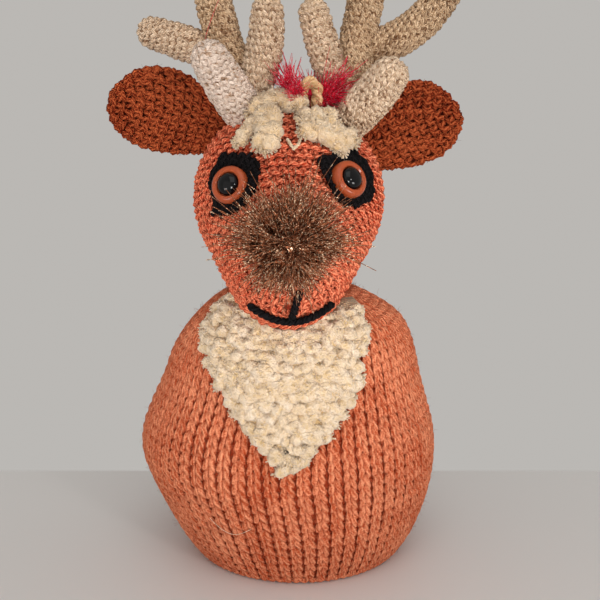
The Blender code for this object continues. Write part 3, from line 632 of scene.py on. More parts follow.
def knit(skin, seed):
    """The rows of one panel as strands, a little uneven in place, height and thickness."""
    random = np.random.default_rng(seed)
    rows = int(skin.length / ROW_HEIGHT)
    wander = random.normal(0, 1, (3, rows + 2, WANDER_KNOTS))
    chunks = []
    for row in range(rows):
        middle = (row + ROW_MIDDLE) * ROW_HEIGHT
        girth = skin.girth(middle)
        wales = next((n for n in WALES if girth / n > NARROWEST_STITCH), WALES[-1])
        t = np.linspace(0, math.tau * wales, wales * STITCH_POINTS + 1)
        stitch = t / math.tau
        size = (girth / wales / STITCH_WIDTH) ** 0.8

        def uneven(kind, amount):
            return amount * np.interp(stitch, np.arange(WANDER_KNOTS), wander[kind, row])

        across = stitch + LOOP_WAIST * np.sin(2 * t) - LOOP_SPREAD * np.sin(t)
        across += uneven(0, UNEVEN_PLACE)
        along = middle - LOOP_RISE * ROW_HEIGHT * np.cos(t) + uneven(1, UNEVEN_HEIGHT)
        depth = -LOOP_DEPTH * size * np.cos(2 * t)
        radius = YARN_RADIUS * size * (1 + uneven(2, UNEVEN_RADIUS))
        lift = CREST - LOOP_DEPTH * size - radius * YARN_FLAT + depth
        points, ups = skin.at(along, across / wales, lift)
        # painted shade: a loop is darker where it dips behind the next one; the uneven part is the yarn's
        # own tone
        shown = ease(0.4 + 0.6 * depth / (LOOP_DEPTH * size))
        shade = (0.25 + 0.75 * shown) * (1 + uneven(2, UNEVEN_SHADE))
        chunks.append(tubes(points[None], radius, ups, 6, YARN_FLAT, shade))
    return chunks


stitches = {
    side: build(f"panel_{side}_stitches", knit(skin, seed), RUST)
    for seed, (side, skin) in enumerate(skins.items(), 3)
}

# %% [markdown]
# Behind the loops the cloth needs a body, or light would fall through between them. It is a thin closed
# sheet on the same skin, and it takes the CAD panel's place. It was knitted 32 stitches wide, and is as
# long as the panel from hem to neck.

# %% Back the stitches with cloth
# the cloth's low shade paints it dark, as painted shade between the loops
CLOTH_OUTER, CLOTH_INNER, CLOTH_SHADE = -2.4 * MM, -3.9 * MM, 0.25


def cloth(skin):
    """A thin closed sheet under the stitches: an outer and an inner face, joined round the rim."""
    grids = [(skin.grid + skin.normals * lift)[::2, ::2] for lift in (CLOTH_OUTER, CLOTH_INNER)]
    outer, inner = (grid.reshape(-1, 3) for grid in grids)
    index = np.arange(len(outer)).reshape(grids[0].shape[:2])
    face = squares(index).reshape(-1, 4)
    rim = np.concatenate([index[0, :-1], index[:-1, -1], index[-1, :0:-1], index[:0:-1, 0]])
    after = np.roll(rim, -1)
    edge = np.stack([after, rim, rim + len(outer), after + len(outer)], -1)
    quads = np.concatenate([face, face[:, ::-1] + len(outer), edge])
    if inward(outer, face):
        quads = quads[:, ::-1]
    points = np.concatenate([outer, inner])
    return points, [(quads, 0.0)], np.full(len(points), CLOTH_SHADE)


for side, skin in skins.items():
    piece = build(f"panel_{side}_cloth", [cloth(skin)], RUST, f"body_{side}")

# %% [markdown]
# ## Crochet
#
# The head, the ears and the antlers are crocheted in rounds. Each stitch shows as a small open V: two
# strands that rise out of the hole below, cross the round and sink into the next. So a stitch is two
# short strands, and the hole between its neighbours is left open and deep, with painted shade on the
# cloth under it and on the strands' low ends. On the head and the ears a third strand lies along the top
# of each round.

# %% Draw the stitches
# across the stitch, along the round's height, how high, how thick, for the right one of the two strands
V_LEG = np.array([
    (0.52, 0.42, -1.1, 0.75), (0.40, 0.22, 0.40, 1.0), (0.23, -0.04, 0.90, 1.05),
    (0.09, -0.30, 0.45, 1.0), (0.0, -0.55, -1.1, 0.75),
])
# the same where neighbours join at the top and make a zigzag along the round
ZIGZAG_LEG = np.array([
    (0.53, 0.40, -0.8, 0.8), (0.40, 0.18, 0.0, 0.95), (0.24, -0.08, 0.25, 1.0),
    (0.10, -0.32, -0.2, 0.95), (0.0, -0.58, -1.2, 0.75),
])
# the same for thick yarn, whose two strands lie side by side like grains of rice
GRAIN_LEG = np.array([
    (0.44, 0.50, -1.4, 0.75), (0.38, 0.26, 0.35, 1.0), (0.29, 0.0, 1.0, 1.12),
    (0.19, -0.26, 0.40, 1.0), (0.09, -0.50, -1.4, 0.75),
])
# the strand that lies along the top of a round and makes its ridge
RIDGE_BAR = np.array([
    (-0.14, 0.36, -0.4, 0.75), (0.20, 0.39, 1.35, 1.05), (0.50, 0.45, 1.85, 1.15),
    (0.80, 0.52, 1.15, 1.05), (1.10, 0.56, -0.5, 0.75),
])
# a low strand that crosses between the grains of an ear's rounds
EAR_BAR = RIDGE_BAR * (1, 1, 0.55, 0.85) - (0.05, 0.05, 0.1, 0)
print("a strand of crochet is drawn through", len(V_LEG), "points")

# %% [markdown]
# A round has as many stitches as its girth has room for, and starts about half a stitch on from the last
# one. No two stitches are alike: each strays a little in place, height and thickness.

# %% Work stitches in rounds
LEFT_LEG_LOWER = 0.3 * MM  # yarn twists one way, so one strand of each V lies lower
STITCH_DRIFT, STITCH_BULGE = 0.2 * MM, 0.16 * MM  # how far a stitch strays along its form, and outward


def crochet(skin, width, height, seed, legs, thickness, sides, sink, relief, bar=None):
    """Stitches in rounds over a closed skin, from its first ring to its last.

    Thickness is a strand's radius as a share of the stitch's width. Sink is how deep the strands lie, and
    relief how much they rise and fall: one number, or one for the first ring and one from halfway on.
    """
    first_relief, relief = np.broadcast_to(relief, 2)
    random = np.random.default_rng(seed)
    strands = [(legs, 1, 0.0), (legs, -1, LEFT_LEG_LOWER)] + [(bar, 1, 0.0)] * (bar is not None)
    lines, ups, radii, shades = [], [], [], []
    phase = 0.0
    rounds = int(skin.length / height)
    step = skin.length / rounds
    for number in range(rounds):
        along = (number + 0.5) * step
        girth = skin.girth(along)
        count = max(5, round(girth / width))
        size = min(1.0, girth / count / width)
        relief_here = first_relief + (relief - first_relief) * ease(2 * along / skin.length)
        phase += 0.5 + random.uniform(-0.15, 0.15)
        centre = (np.arange(count) + phase % 1.0) + random.normal(0, 0.09, count)
        drift = random.normal(0, STITCH_DRIFT, (count, 1))
        bulge = random.normal(0, STITCH_BULGE, (count, 1))
        for strand, mirror, lower in strands:
            a = centre[:, None] + mirror * strand[:, 0]
            b = along + step * strand[:, 1] * random.uniform(0.85, 1.15, (count, 1)) + drift
            swell = 1 + random.normal(0, 0.08, (count, 1))
            lift = strand[:, 2] * MM * size * relief_here - sink - lower + bulge
            points, up = skin.at(b, a / count, lift)
            lines.append(points)
            ups.append(up)
            radii.append(thickness * width * max(size, 0.55) * strand[:, 3] * swell)
            # painted shade: each strand is darker at its low ends; swell is the yarn's own uneven tone
            depth = 0.8 * (1 - ease((strand[:, 2] + 1.2) / 1.8)) * min(1.0, relief_here)
            shades.append((1 - depth) * (swell * 0.9 + 0.1))
    lines, radii, ups, shades = (np.concatenate(parts) for parts in (lines, radii, ups, shades))
    return tubes(lines, radii, ups, sides, 0.9, shades)


def stuffed(node, skin, worked, finish, base_lift=-2.0 * MM, base_shade=0.1):
    """A crocheted and stuffed piece: its stitches, and the cloth that they are worked in, which base_shade
    paints dark as painted shade in the holes.
    """
    piece = build(f"{node}_crochet", [skin.shell(base_lift, base_shade), worked], finish, node)


print("stitches can be worked in rounds")

# %% [markdown]
# ## The head
#
# The head's rounds begin at the tip of the muzzle and widen to the cranium, so the rings run round the
# muzzle's axis, which points forward and down. The stitches are flatter at the muzzle.

# %% Crochet the head
def head_rings(columns=96):
    """Rings about the head's axis, from the muzzle's tip to the back of the cranium."""
    join = math.pi / 2 - math.asin(CONE_SINE)
    balls = [(MUZZLE_RADIUS, MUZZLE_REACH, angle) for angle in np.linspace(0.06, join, 14)]
    balls += [(CRANIUM_RADIUS, 0.0, angle) for angle in np.linspace(join, math.pi - 0.04, 30)]
    side = np.array((1.0, 0, 0))
    up = np.cross(side, HEAD_AXIS)
    turn = np.linspace(0, math.tau, columns + 1)[:, None] + math.pi
    return [
        CRANIUM
        + HEAD_AXIS * (far + radius * math.cos(angle))
        + radius * math.sin(angle) * (side * np.sin(turn) + up * np.cos(turn))
        for radius, far, angle in balls
    ]


head_skin = Skin(head_rings())
worked = crochet(
    head_skin, width=5.0 * MM, height=5.3 * MM, seed=11, legs=ZIGZAG_LEG, thickness=0.265, sides=4,
    sink=1.45 * MM, relief=(0.4, 0.9), bar=RIDGE_BAR,
)
stuffed("head", head_skin, worked, RUST_HEAD, base_shade=0.3)

# %% [markdown]
# ## Ears
#
# Each ear is a flat tube of crochet worked from its tip, so its rounds cross it as ribs and its rim is
# scalloped. The table gives its width along its length, and its rims curl forward a little.

# %% Crochet the ears
# root, tip, degrees that it is turned about its own length
EARS_MM = {
    "left": ((-36.0, -7.0, 236.0), (-97.0, -14.0, 252.0), -6.0),
    "right": ((37.0, -7.0, 226.0), (91.0, -11.0, 247.5), 6.0),
}
# share of the way from root to tip, half-width, how far its middle line rises there
EAR_WIDTHS_MM = [
    (0.00, 11.5, 0.0), (0.12, 14.5, 1.0), (0.24, 18.2, 2.2), (0.36, 20.8, 3.0), (0.48, 22.3, 3.6),
    (0.67, 21.8, 3.3), (0.82, 18.2, 2.4), (0.93, 11.5, 1.0), (0.985, 5.5, 0.2), (1.00, 2.0, 0.0),
]
EAR_THICKNESS, EAR_CUP, EAR_BOXINESS = 7.0, 4.0, 0.7


def boxy(wave):
    return np.sign(wave) * np.abs(wave) ** EAR_BOXINESS


def ear_rings(root, tip, turn_deg, columns=96):
    """Flat rings from the ear's tip to its root, with their rims curled forward."""
    root, tip = (np.array(point) for point in (root, tip))
    along = unit(tip - root)
    across = np.cross((0.0, 1.0, 0.0), along)
    across = unit(np.array(Matrix.Rotation(math.radians(turn_deg), 3, Vector(along)) @ Vector(across)))
    front = np.cross(across, along)
    front *= -np.sign(front[1])
    upward = across * np.sign(across[2])
    turn = np.linspace(0, math.tau, columns + 1)
    rings = []
    for share, half_width, rise in EAR_WIDTHS_MM[::-1]:
        x = half_width * boxy(np.cos(turn))
        y = EAR_THICKNESS / 2 * min(1.0, 0.55 + half_width / 20) * boxy(np.sin(turn))
        y = y + EAR_CUP * (x / 22) ** 2 * ease(share / 0.5)
        middle = root + share * (tip - root) + rise * upward
        rings.append(placed(middle + across * x[:, None] + front * y[:, None]))
    return rings


ear_skins = {}
for side, row in EARS_MM.items():
    ear_skins[side] = Skin(ear_rings(*row), rows=70)
    worked = crochet(
        ear_skins[side], width=5.3 * MM, height=5.2 * MM, seed=21, legs=GRAIN_LEG, thickness=0.27,
        sides=5, sink=1.75 * MM, relief=1.2, bar=EAR_BAR,
    )
    stuffed(f"ear_{side}", ear_skins[side], worked, RUST_EARS_SHADED)

# %% [markdown]
# ## Antlers
#
# Every tine is a narrow tube worked from its round tip, and stuffed. The table gives each one's root,
# middle and tip, its radius at both ends, and its yarn.

# %% Crochet the antlers
TINES_MM = {
    "left_beam": ((-20, -19, 238), (-34.5, -12, 281), (-44, -12, 324), 9.6, 8.8, BEIGE_DEEP),
    "left_front": ((-20, -22, 240), (-31, -37, 257), (-38, -50, 269), 10.4, 9.6, BEIGE_PALE),
    "left_inner": ((-21, -18, 252), (-14, -20, 275), (-11.5, -24, 295), 9.2, 8.6, BEIGE),
    "left_outer": ((-33, -10, 274), (-55, -9, 282), (-72, -12, 287), 8.8, 8.4, BEIGE),
    "right_beam": ((25, -19, 236), (34.5, -12, 279), (43, -8, 325), 9.4, 8.8, BEIGE_DEEP),
    "right_front": ((27, -22, 238), (39, -37, 250), (48, -50, 261), 10.4, 9.6, BEIGE),
    "right_inner": ((27, -18, 254), (18, -20, 276), (12, -24, 295), 8.4, 7.8, BEIGE),
    "right_outer": ((35, -9, 279), (64, -9, 289), (84, -13, 314), 9.2, 8.6, BEIGE_DEEP),
}
TINE_BELLY = 0.11  # how much the stuffing swells a tine at its middle, as a share of its radius


def through(start, middle, end, t):
    """The point at t of the curve that starts, is halfway at middle, and ends."""
    bend = 2 * middle - (start + end) / 2
    return (1 - t) ** 2 * start + 2 * t * (1 - t) * bend + t * t * end


def tine_rings(root, middle, tip, root_radius, tip_radius, columns=48):
    """Rings from the tip's pole, over the half ball, and down the tube to its root."""
    spots = [np.array(point, float) for point in (root, middle, tip)]
    stations = [(1.0, math.cos(a), math.sin(a)) for a in np.linspace(0.12, math.pi / 2, 8)]
    stations += [(t, 0.0, 1.0) for t in np.linspace(1, 0, 16)[1:]]
    turn = np.linspace(0, math.tau, columns + 1)[:, None]
    rings = []
    for t, beyond, shrink in stations:
        heading = unit(through(*spots, t + 0.01) - through(*spots, t - 0.01))
        side = unit(np.cross((0.0, 1.0, 0.0), heading))
        radius = root_radius + (tip_radius - root_radius) * t
        centre = through(*spots, t) + heading * beyond * radius
        radius *= 1 + TINE_BELLY * (math.sin(math.pi * t) - 0.35)
        ring = side * np.cos(turn) + np.cross(heading, side) * np.sin(turn)
        rings.append(placed(centre + shrink * radius * ring))
    return rings


for number, (name, (*row, yarn)) in enumerate(TINES_MM.items()):
    skin = Skin(tine_rings(*row), rows=60, columns=48)
    worked = crochet(
        skin, width=3.8 * MM, height=3.4 * MM, seed=31 + number, legs=V_LEG, thickness=0.35, sides=4,
        sink=1.15 * MM, relief=0.55,
    )
    stuffed(f"antler_{name}", skin, worked, yarn, base_lift=-1.0 * MM, base_shade=0.6)

# %% [markdown]
# ## Chenille
#
# Chenille yarn is a thin core with short pile all round it, like a pipe cleaner's. Seen from outside the
# pile is cream, and deep between its fibres it is painted yellower and darker as painted shade. Noise and
# a bump break it up.

# %% Dye the chenille
PILE_BUMP = 2.0 * MM


def chenille_finish(name, light, dark, deep):
    finish = Finish(name, "cream_chenille", 0.15, roughness=0.9, sheen_weight=0.3, sheen_roughness=0.5)
    tone = (finish.speckle(150.0) * 1.6 - 0.3).clamped()
    pile = finish.speckle(750.0, 3.0)
    # painted shade between the fibres, broken up by the pile noise
    shade = (finish.shade() * 1.2 + pile * 1.3 - 0.83).clamped()
    finish.mottle(shade, deep, finish.blend(tone, dark, light))
    finish.raise_by(pile, PILE_BUMP)
    return finish


CREAM = chenille_finish(
    "cream_chenille_pile", (0.81, 0.68, 0.55), (0.74, 0.565, 0.38), (0.62, 0.40, 0.15)
)
CREAM_YELLOW = chenille_finish(
    "yellow_cream_chenille_pile", (0.74, 0.60, 0.45), (0.69, 0.50, 0.31), (0.58, 0.35, 0.12)
)


print("chenille comes in two creams")

# %% [markdown]
# Thick and soft, chenille swells into blunt lumps, and its pile opens into little teeth at its bends and
# ends. So a strand is a lumpy body, and a few blunt fibres stand on each millimetre of it.

# %% Make chenille
BODY_SIDES, BODY_STEP = 9, 0.9 * MM
PILE_OUT = 0.5 * MM  # how far the fibres stand past the body
LUMP_WAVES = np.array([(0.9, 0.3, 0.5), (-0.4, 0.8, 0.6), (0.5, -0.6, 0.7), (0.1, 0.9, -0.5)])
LUMP_PHASES = (0.3, 1.9, 4.1, 5.2)
LUMP_SIZE = 2.9 * MM


def waver(values, pitch, phase):
    """A slow, uneven wave through the values, from -1 to 1."""
    turn = values / pitch * math.tau
    return 0.6 * np.sin(turn + phase) + 0.4 * np.sin(turn * 1.7 + 2.3 * phase)


def lumps(points):
    """Uneven swellings through space, from -1 to 1."""
    a, b, c, d = np.sin(points @ LUMP_WAVES.T * math.pi / LUMP_SIZE + LUMP_PHASES).T
    return 0.6 * (a + b * c + 0.7 * d)


def chenille(random, line, ups, radius, density=5, lump=7.0 * MM, fibre=0.42 * MM):
    """A length of chenille along a line: its body, and blunt fibres, so many on each millimetre."""
    lengths = distances(line)
    total = lengths[-1]
    line = evenly(line, max(5, int(total / BODY_STEP) + 1))
    spots = np.linspace(0, total, len(line))
    ups = unit(between(spots, lengths, ups))
    ends = np.sqrt(np.clip(np.minimum(spots, total - spots) / radius + 0.12, 0, 1))
    swell = waver(spots, lump, random.uniform(0, math.tau))
    girth = radius * ends * (0.86 + 0.10 * swell)
    # painted shade: the body is darker at its pinches and in its lumps' hollows, lighter where it swells
    shade = 0.76 + 0.16 * swell
    points, faces, shade = tubes(line[None], girth, ups, BODY_SIDES, 1.0, shade)
    middle = np.repeat(line, BODY_SIDES, axis=0)
    rough = lumps(points)
    body = middle + (points - middle) * (1 + 0.14 * rough[:, None]), faces, shade + 0.2 * rough

    count = int(total / MM * density)
    at = random.uniform(0, total, count)
    ahead = unit(between(at, spots, np.gradient(line, axis=0)))
    up = unit(between(at, spots, ups))
    side = unit(np.cross(ahead, up))
    turn = random.uniform(-0.7 * math.pi, 0.7 * math.pi, (count, 1))
    beyond = np.where(at < total / 2, -1, 1) * np.clip(1 - np.minimum(at, total - at) / radius, 0, 1)
    heading = up * np.cos(turn) + side * np.sin(turn) + ahead * (1.6 * beyond[:, None])
    heading = unit(heading + random.normal(0, 0.35, (count, 3)))
    long = random.uniform(0.85, 1.15, count) + np.abs(beyond) * random.uniform(0.0, 0.7, count)
    reach = (np.interp(at, spots, girth) * long + PILE_OUT)[:, None]
    start = between(at, spots, line) + heading * reach * 0.4
    lines = np.stack([start, start + heading * reach * 0.6], axis=1)
    radii = fibre * random.uniform(0.75, 1.3, (count, 1)) * (1.0, 0.75)
    sideways = unit(np.cross(heading, random.normal(0, 1, (count, 3))))
    # painted shade: each fibre is darker at its root than at its tip
    shade = np.stack([np.full(count, 0.45), random.uniform(0.85, 1.15, count)], 1)
    return [body, tubes(lines, radii, sideways[:, None], 3, 1.0, shade)]


print("chenille is ready")

# %% [markdown]
# ## The bib
#
# The bib lies on the chest just as the CAD bib does. A ray from the front finds each point's place on it,
# and its slope there.

# %% Find the bib's surface
def surface(node):
    """The CAD node's faces, ready to be hit by rays."""
    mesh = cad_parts[node].data
    points = [vertex.co.copy() for vertex in mesh.vertices]
    return BVHTree.FromPolygons(points, [tuple(polygon.vertices) for polygon in mesh.polygons])


def seen_from_front(tree, x, z, least):
    """Where a ray from the front meets a surface, and its outward direction, if that is forward enough."""
    place, normal = tree.ray_cast(Vector((x, -0.4, z)), Vector((0, 1, 0)))[:2]
    return None if place is None or normal[1] > -least else (np.array(place), np.array(normal))


def lay_on(tree, xs, zs, sink):
    """The points of a line as a ray from the front finds them, in unbroken runs."""
    runs = [[]]
    for x, z in zip(xs, zs):
        hit = seen_from_front(tree, x, z, 0.05)
        if hit:
            runs[-1].append((hit[0] - hit[1] * sink, hit[1]))
        elif runs[-1]:
            runs.append([])
    return [[np.array(rows) for rows in zip(*run)] for run in runs if len(run) > 3]


tree = surface("bib")
low, high = box_of("bib")
print("the bib measures", [round(side / MM) for side in high - low], "mm")

# %% [markdown]
# Its chenille goes back and forth in wavering rows. Where a row ends its last tuft sticks out, which makes
# the ragged rim. Short loops that have worked loose lie over the rows.

# %% Lay the bib's rows
BIB_ROW, BIB_PILE = 4.9 * MM, 3.3 * MM
BIB_FIRST, BIB_OVER = 1.5 * MM, 4 * MM  # rows start over the bib's tip and may go on past its top
SWAY, SWAY_PITCH, STRAY = 1.6 * MM, 17 * MM, 0.3 * MM  # of a row, up and down
RISE, RISE_PITCH = 1.1 * MM, 9 * MM  # of a row, out and in
ROW_SINK, LOOP_SINK = 1.7 * MM, 1.3 * MM  # into the CAD bib
RIM_TUFT_MM, RIM_DROP_MM = (1.0, 6.0), 0.8  # how far a row's end sticks out, and how far it sinks
BIB_LOOPS, BIB_LOOP_POINTS = 120, 8
LOOP_HALF_MM, LOOP_PILE_MM = (3.0, 6.0), (2.3, 3.3)  # half a loop's length, and its radius
LOOP_SLANT, LOOP_BOW = 0.8, 0.5  # how much the loops differ in slant and bend


def beyond_rim(random, line, ups):
    """The run with a point added beyond each end, where the yarn turns back over the rim."""
    for _ in range(2):
        line, ups = line[::-1], ups[::-1]
        heading = unit(unit(line[-1] - line[-3]) + random.normal(0, 0.3, 3))
        end = line[-1] + heading * random.uniform(*RIM_TUFT_MM) * MM - ups[-1] * RIM_DROP_MM * MM
        line, ups = np.concatenate([line, [end]]), np.concatenate([ups, ups[-1:]])
    return line, ups


random = np.random.default_rng(41)
chunks, length = [], 0
for z in np.arange(low[2] + BIB_FIRST, high[2] + BIB_OVER, BIB_ROW):
    phase = random.uniform(0, math.tau)
    xs = np.arange(low[0], high[0], MM)
    zs = z + SWAY * waver(xs, SWAY_PITCH, phase) + random.normal(0, STRAY)
    for line, ups in lay_on(tree, xs, zs, ROW_SINK):
        line, ups = beyond_rim(random, line, ups)
        wave = waver(np.arange(len(line)) * MM, RISE_PITCH, 1.3 * phase)
        line = line + ups * (RISE * wave)[:, None]
        length += MM * len(line)
        chunks += chenille(random, line, ups, BIB_PILE * random.uniform(0.95, 1.15))
t = np.linspace(-1, 1, BIB_LOOP_POINTS)
for _ in range(BIB_LOOPS):
    x, z = (random.uniform(low[k], high[k]) for k in (0, 2))
    slant = random.normal(0, LOOP_SLANT)
    half = random.uniform(*LOOP_HALF_MM) * MM
    bow = random.normal(0, LOOP_BOW)
    xs = x + half * (t * math.cos(slant) - bow * t**2 * math.sin(slant))
    zs = z + half * (t * math.sin(slant) + bow * t**2 * math.cos(slant))
    for line, ups in lay_on(tree, xs, zs, LOOP_SINK):
        if len(line) == BIB_LOOP_POINTS:
            line = line + ups * ((1.5 - 2.4 * t**2) * MM)[:, None]
            chunks += chenille(random, line, ups, random.uniform(*LOOP_PILE_MM) * MM)
print("the bib's rows are", round(length, 2), "m of chenille")

# %% [markdown]
# Under the chenille lies the bib's own cloth. It is the CAD bib with its front sunk a little, so that it
# doesn't show between the strands, and it takes the CAD bib's place.

# %% Back the bib with cloth
BIB_SUNK = 1.6 * MM
# painted shade: the cloth under the chenille and the patches is painted darker than the pile
BASE_SHADE = 0.5


def copy_of(node, sink=0.0):
    """The CAD node's own form as a chunk, to lie under what covers it. Its front can be sunk."""
    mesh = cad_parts[node].data
    spots = np.round([vertex.co for vertex in mesh.vertices], 6)
    points, joined = np.unique(spots, axis=0, return_inverse=True)
    triangles = joined.reshape(-1)[np.array([p.vertices[:] for p in mesh.polygons])]
    corners = points[triangles]
    facing = np.cross(corners[:, 1] - corners[:, 0], corners[:, 2] - corners[:, 0])
    outward = np.zeros_like(points)
    for k in range(3):
        np.add.at(outward, triangles[:, k], facing)
    outward = unit(outward)
    points = points - outward * sink * np.clip(-outward[:, 1:2] * 3 - 0.5, 0, 1)
    return points, [(triangles, 0.0)], np.full(len(points), BASE_SHADE)


bib_base = build("bib_cloth", [copy_of("bib", BIB_SUNK)], CREAM, "bib")
bib_pile = build("bib_chenille", chunks, CREAM)

# %% [markdown]
# ## Forelocks
#
# The same chenille hangs over the forehead in fat strands. Each strand follows the CAD strand's own line.

# %% Lay the forelocks
# start, bend, end, radius: each point is a direction from the cranium's middle, in degrees round from the
# front and up
STRANDS_MM = {
    "left": [
        ((-27, 51), (-13, 66), (9, 53), 4.4), ((-21, 55), (-13, 40), (-14, 27), 4.2),
        ((-25, 53), (-29, 42), (-34, 31), 2.6), ((-36, 58), (-28, 67), (-22, 71), 3.4),
    ],
    "right": [
        ((9, 41), (25, 38), (47, 31), 4.0), ((11, 44), (24, 47), (38, 44), 4.2),
        ((31, 42), (33, 34), (32, 26), 3.1),
    ],
}
STRAND_SWELL = 1.32  # pile stands out past the CAD strand's radius


def direction_of(round_deg, up_deg):
    """A unit vector: degrees round from the front towards +X, and degrees up."""
    around, up = math.radians(round_deg), math.radians(up_deg)
    return np.array((math.sin(around) * math.cos(up), -math.cos(around) * math.cos(up), math.sin(up)))


def strand_chunks(random, start, bend, end, radius):
    """Two lengths of chenille that waver beside each other along one strand's line."""
    chunks = []
    radius *= STRAND_SWELL * MM
    lifted = CRANIUM_RADIUS + radius * 0.85
    spots = [CRANIUM + lifted * direction_of(*d) for d in (start, bend, end)]
    for number in (-1, 1):
        t = np.linspace(0.0, 1.0 - 0.06 * (number > 0), 40)[:, None]
        line = through(*spots, t)
        ups = unit(line - CRANIUM)
        line = CRANIUM + ups * lifted
        side = unit(np.cross(np.gradient(line, axis=0), ups))
        sway = (0.34 * number + 0.22 * waver(t, 0.5, random.uniform(0, math.tau))) * radius
        rise = waver(t, 0.35, random.uniform(0, math.tau)) * radius * 0.16
        line = line + side * sway + ups * rise
        chunks += chenille(random, line, ups, radius, density=8, lump=8 * MM, fibre=0.55 * MM)
    return chunks


for forelock, strands in STRANDS_MM.items():
    random = np.random.default_rng(51 + len(forelock))
    chunks = [chunk for row in strands for chunk in strand_chunks(random, *row)]
    build(f"forelock_{forelock}_chenille", chunks, CREAM_YELLOW, f"forelock_{forelock}")

# %% [markdown]
# ## A loop and a stray stitch
#
# Between the forelocks a loop of tan yarn stands up, and a single stitch of the cream yarn shows on the
# forehead. Both are short strands twisted from two.

# %% Twist two strands together
YARN_LOOP_MM = [
    (9.0, -32.0, 247.0), (6.2, -32.5, 251.0), (5.8, -33.0, 256.0), (8.2, -33.0, 260.0),
    (11.8, -33.0, 260.0), (14.0, -33.0, 256.0), (13.6, -32.5, 251.0), (11.0, -32.0, 247.0),
]
FOREHEAD_STITCH_MM = [(-1.4, 231.2), (0.2, 228.6), (2.0, 226.2), (4.2, 228.6), (5.4, 232.4)]


def plait(spots, middle, radius, pitch, sides=8, shade=1.0):
    """Two strands twisted round each other along a line, whose way up is away from the middle."""
    line = evenly(np.array(spots), 60)
    length = distances(line)[-1]
    line = evenly(line, int(length / pitch * 10) + 4)
    ups = unit(line - middle)
    side = unit(np.cross(np.gradient(line, axis=0), ups))
    turn = np.linspace(0, -length / pitch * math.tau, len(line))[:, None]
    ends = np.minimum(1, np.minimum(np.arange(len(line)), np.arange(len(line))[::-1]) / 3 + 0.35)
    twist = radius * 0.5 * (side * np.sin(turn) + ups * np.cos(turn))
    return tubes(np.stack([line + twist, line - twist]), radius * 0.66 * ends, ups, sides, 1.0, shade)


def on_face(x_mm, z_mm, lift):
    """The point of the head's front at that X and Z, lifted off it, and the outward direction."""
    point = np.array((x_mm * MM + SHIFT[0], MUZZLE[1] - 2 * MUZZLE_RADIUS, z_mm * MM))
    for _ in range(60):
        point[1] += 0.8 * head_gap(point)[0]
    normal = head_gap(point)[1]
    return point + lift * normal, normal


spots = placed(YARN_LOOP_MM)
twist = plait(spots, spots.mean(axis=0), radius=2.9 * MM, pitch=11 * MM)
build("forelock_loop_twist", [twist], TAN, "forelock_loop")
spots = [on_face(x, z, lift=0.9 * MM)[0] for x, z in FOREHEAD_STITCH_MM]
twist = plait(spots, CRANIUM, radius=0.8 * MM, pitch=4 * MM, sides=6, shade=0.8)
build("forehead_stitch", [twist], CREAM)

# %% [markdown]
# ## Toy eyes
#
# A toy eye is a turned plastic disc with a domed black pupil set in its hollow. Each is a profile spun
# about its axis, as on a lathe. It sits where the photograph shows it, and turns from the head's own
# slope a little towards the front.

# %% Make the eyes
IRIS_PROFILE_MM = [
    (0.0, 2.4), (5.7, 2.4), (5.9, 4.3), (6.4, 4.75), (7.3, 4.7), (8.3, 4.25),
    (9.0, 3.4), (9.35, 2.3), (9.3, -1.5), (9.0, -2.0), (0.0, -2.0),
]
PUPIL_PROFILE_MM = [
    (0.0, 6.85), (1.8, 6.75), (3.4, 6.35), (4.7, 5.5), (5.4, 4.5), (5.55, 2.5), (0.0, 2.5)
]
# across, up, and the share of the way that the eye turns to the front
EYES = {"left": (-26.6, 208.2, 0.4), "right": (26.5, 210.7, 0.15)}
EYE_SEAT = 2.3 * MM  # over the head's own form
LATHE_STEPS = 64


def turned(name, profile, place, direction, finish, node):
    """A piece turned on a lathe: a profile of radii and heights, spun and set in its place."""
    bpy.ops.object.select_all(action="DESELECT")
    mesh = bpy.data.meshes.new(name)
    edges = [(k, k + 1) for k in range(len(profile) - 1)]
    mesh.from_pydata([(r * MM, 0, h * MM) for r, h in profile], edges, [])
    piece = bpy.data.objects.new(name, mesh)
    bpy.context.scene.collection.objects.link(piece)
    bpy.context.view_layer.objects.active = piece
    piece.select_set(True)
    screw = piece.modifiers.new("lathe", "SCREW")
    screw.steps = screw.render_steps = LATHE_STEPS
    screw.use_merge_vertices = screw.use_normal_calculate = True
    screw.merge_threshold = 0.01 * MM
    bpy.ops.object.modifier_apply(modifier=screw.name)
    bpy.ops.object.mode_set(mode="EDIT")
    bpy.ops.mesh.select_all(action="SELECT")
    bpy.ops.mesh.normals_make_consistent(inside=False)
    bpy.ops.object.mode_set(mode="OBJECT")
    bpy.ops.object.shade_smooth_by_angle(angle=math.radians(40))
    tilt = Vector((0, 0, 1)).rotation_difference(Vector(direction)).to_matrix().to_4x4()
    piece.data.transform(Matrix.Translation(Vector(place)) @ tilt)
    dress(piece, finish, node)


IRIS = Finish("brown_plastic_eye", "brown_plastic", 0.35, roughness=0.22)
IRIS.mottle(IRIS.speckle(500.0), (0.27, 0.045, 0.013), (0.37, 0.072, 0.022))
PUPIL = Finish("black_plastic_eye", "black_plastic", 0.28, roughness=0.04)
PUPIL.mottle(PUPIL.speckle(300.0), (0.001, 0.001, 0.001), (0.003, 0.003, 0.004))

for side, (x, z, forward) in EYES.items():
    seat, normal = on_face(x, z, EYE_SEAT)
    facing = unit(normal * (1 - forward) + np.array((0, -1, 0)) * forward)
    turned(f"iris_{side}_turned", IRIS_PROFILE_MM, seat, facing, IRIS, f"iris_{side}")
    turned(f"pupil_{side}_dome", PUPIL_PROFILE_MM, seat, facing, PUPIL, f"pupil_{side}")
print("the eyes are set")

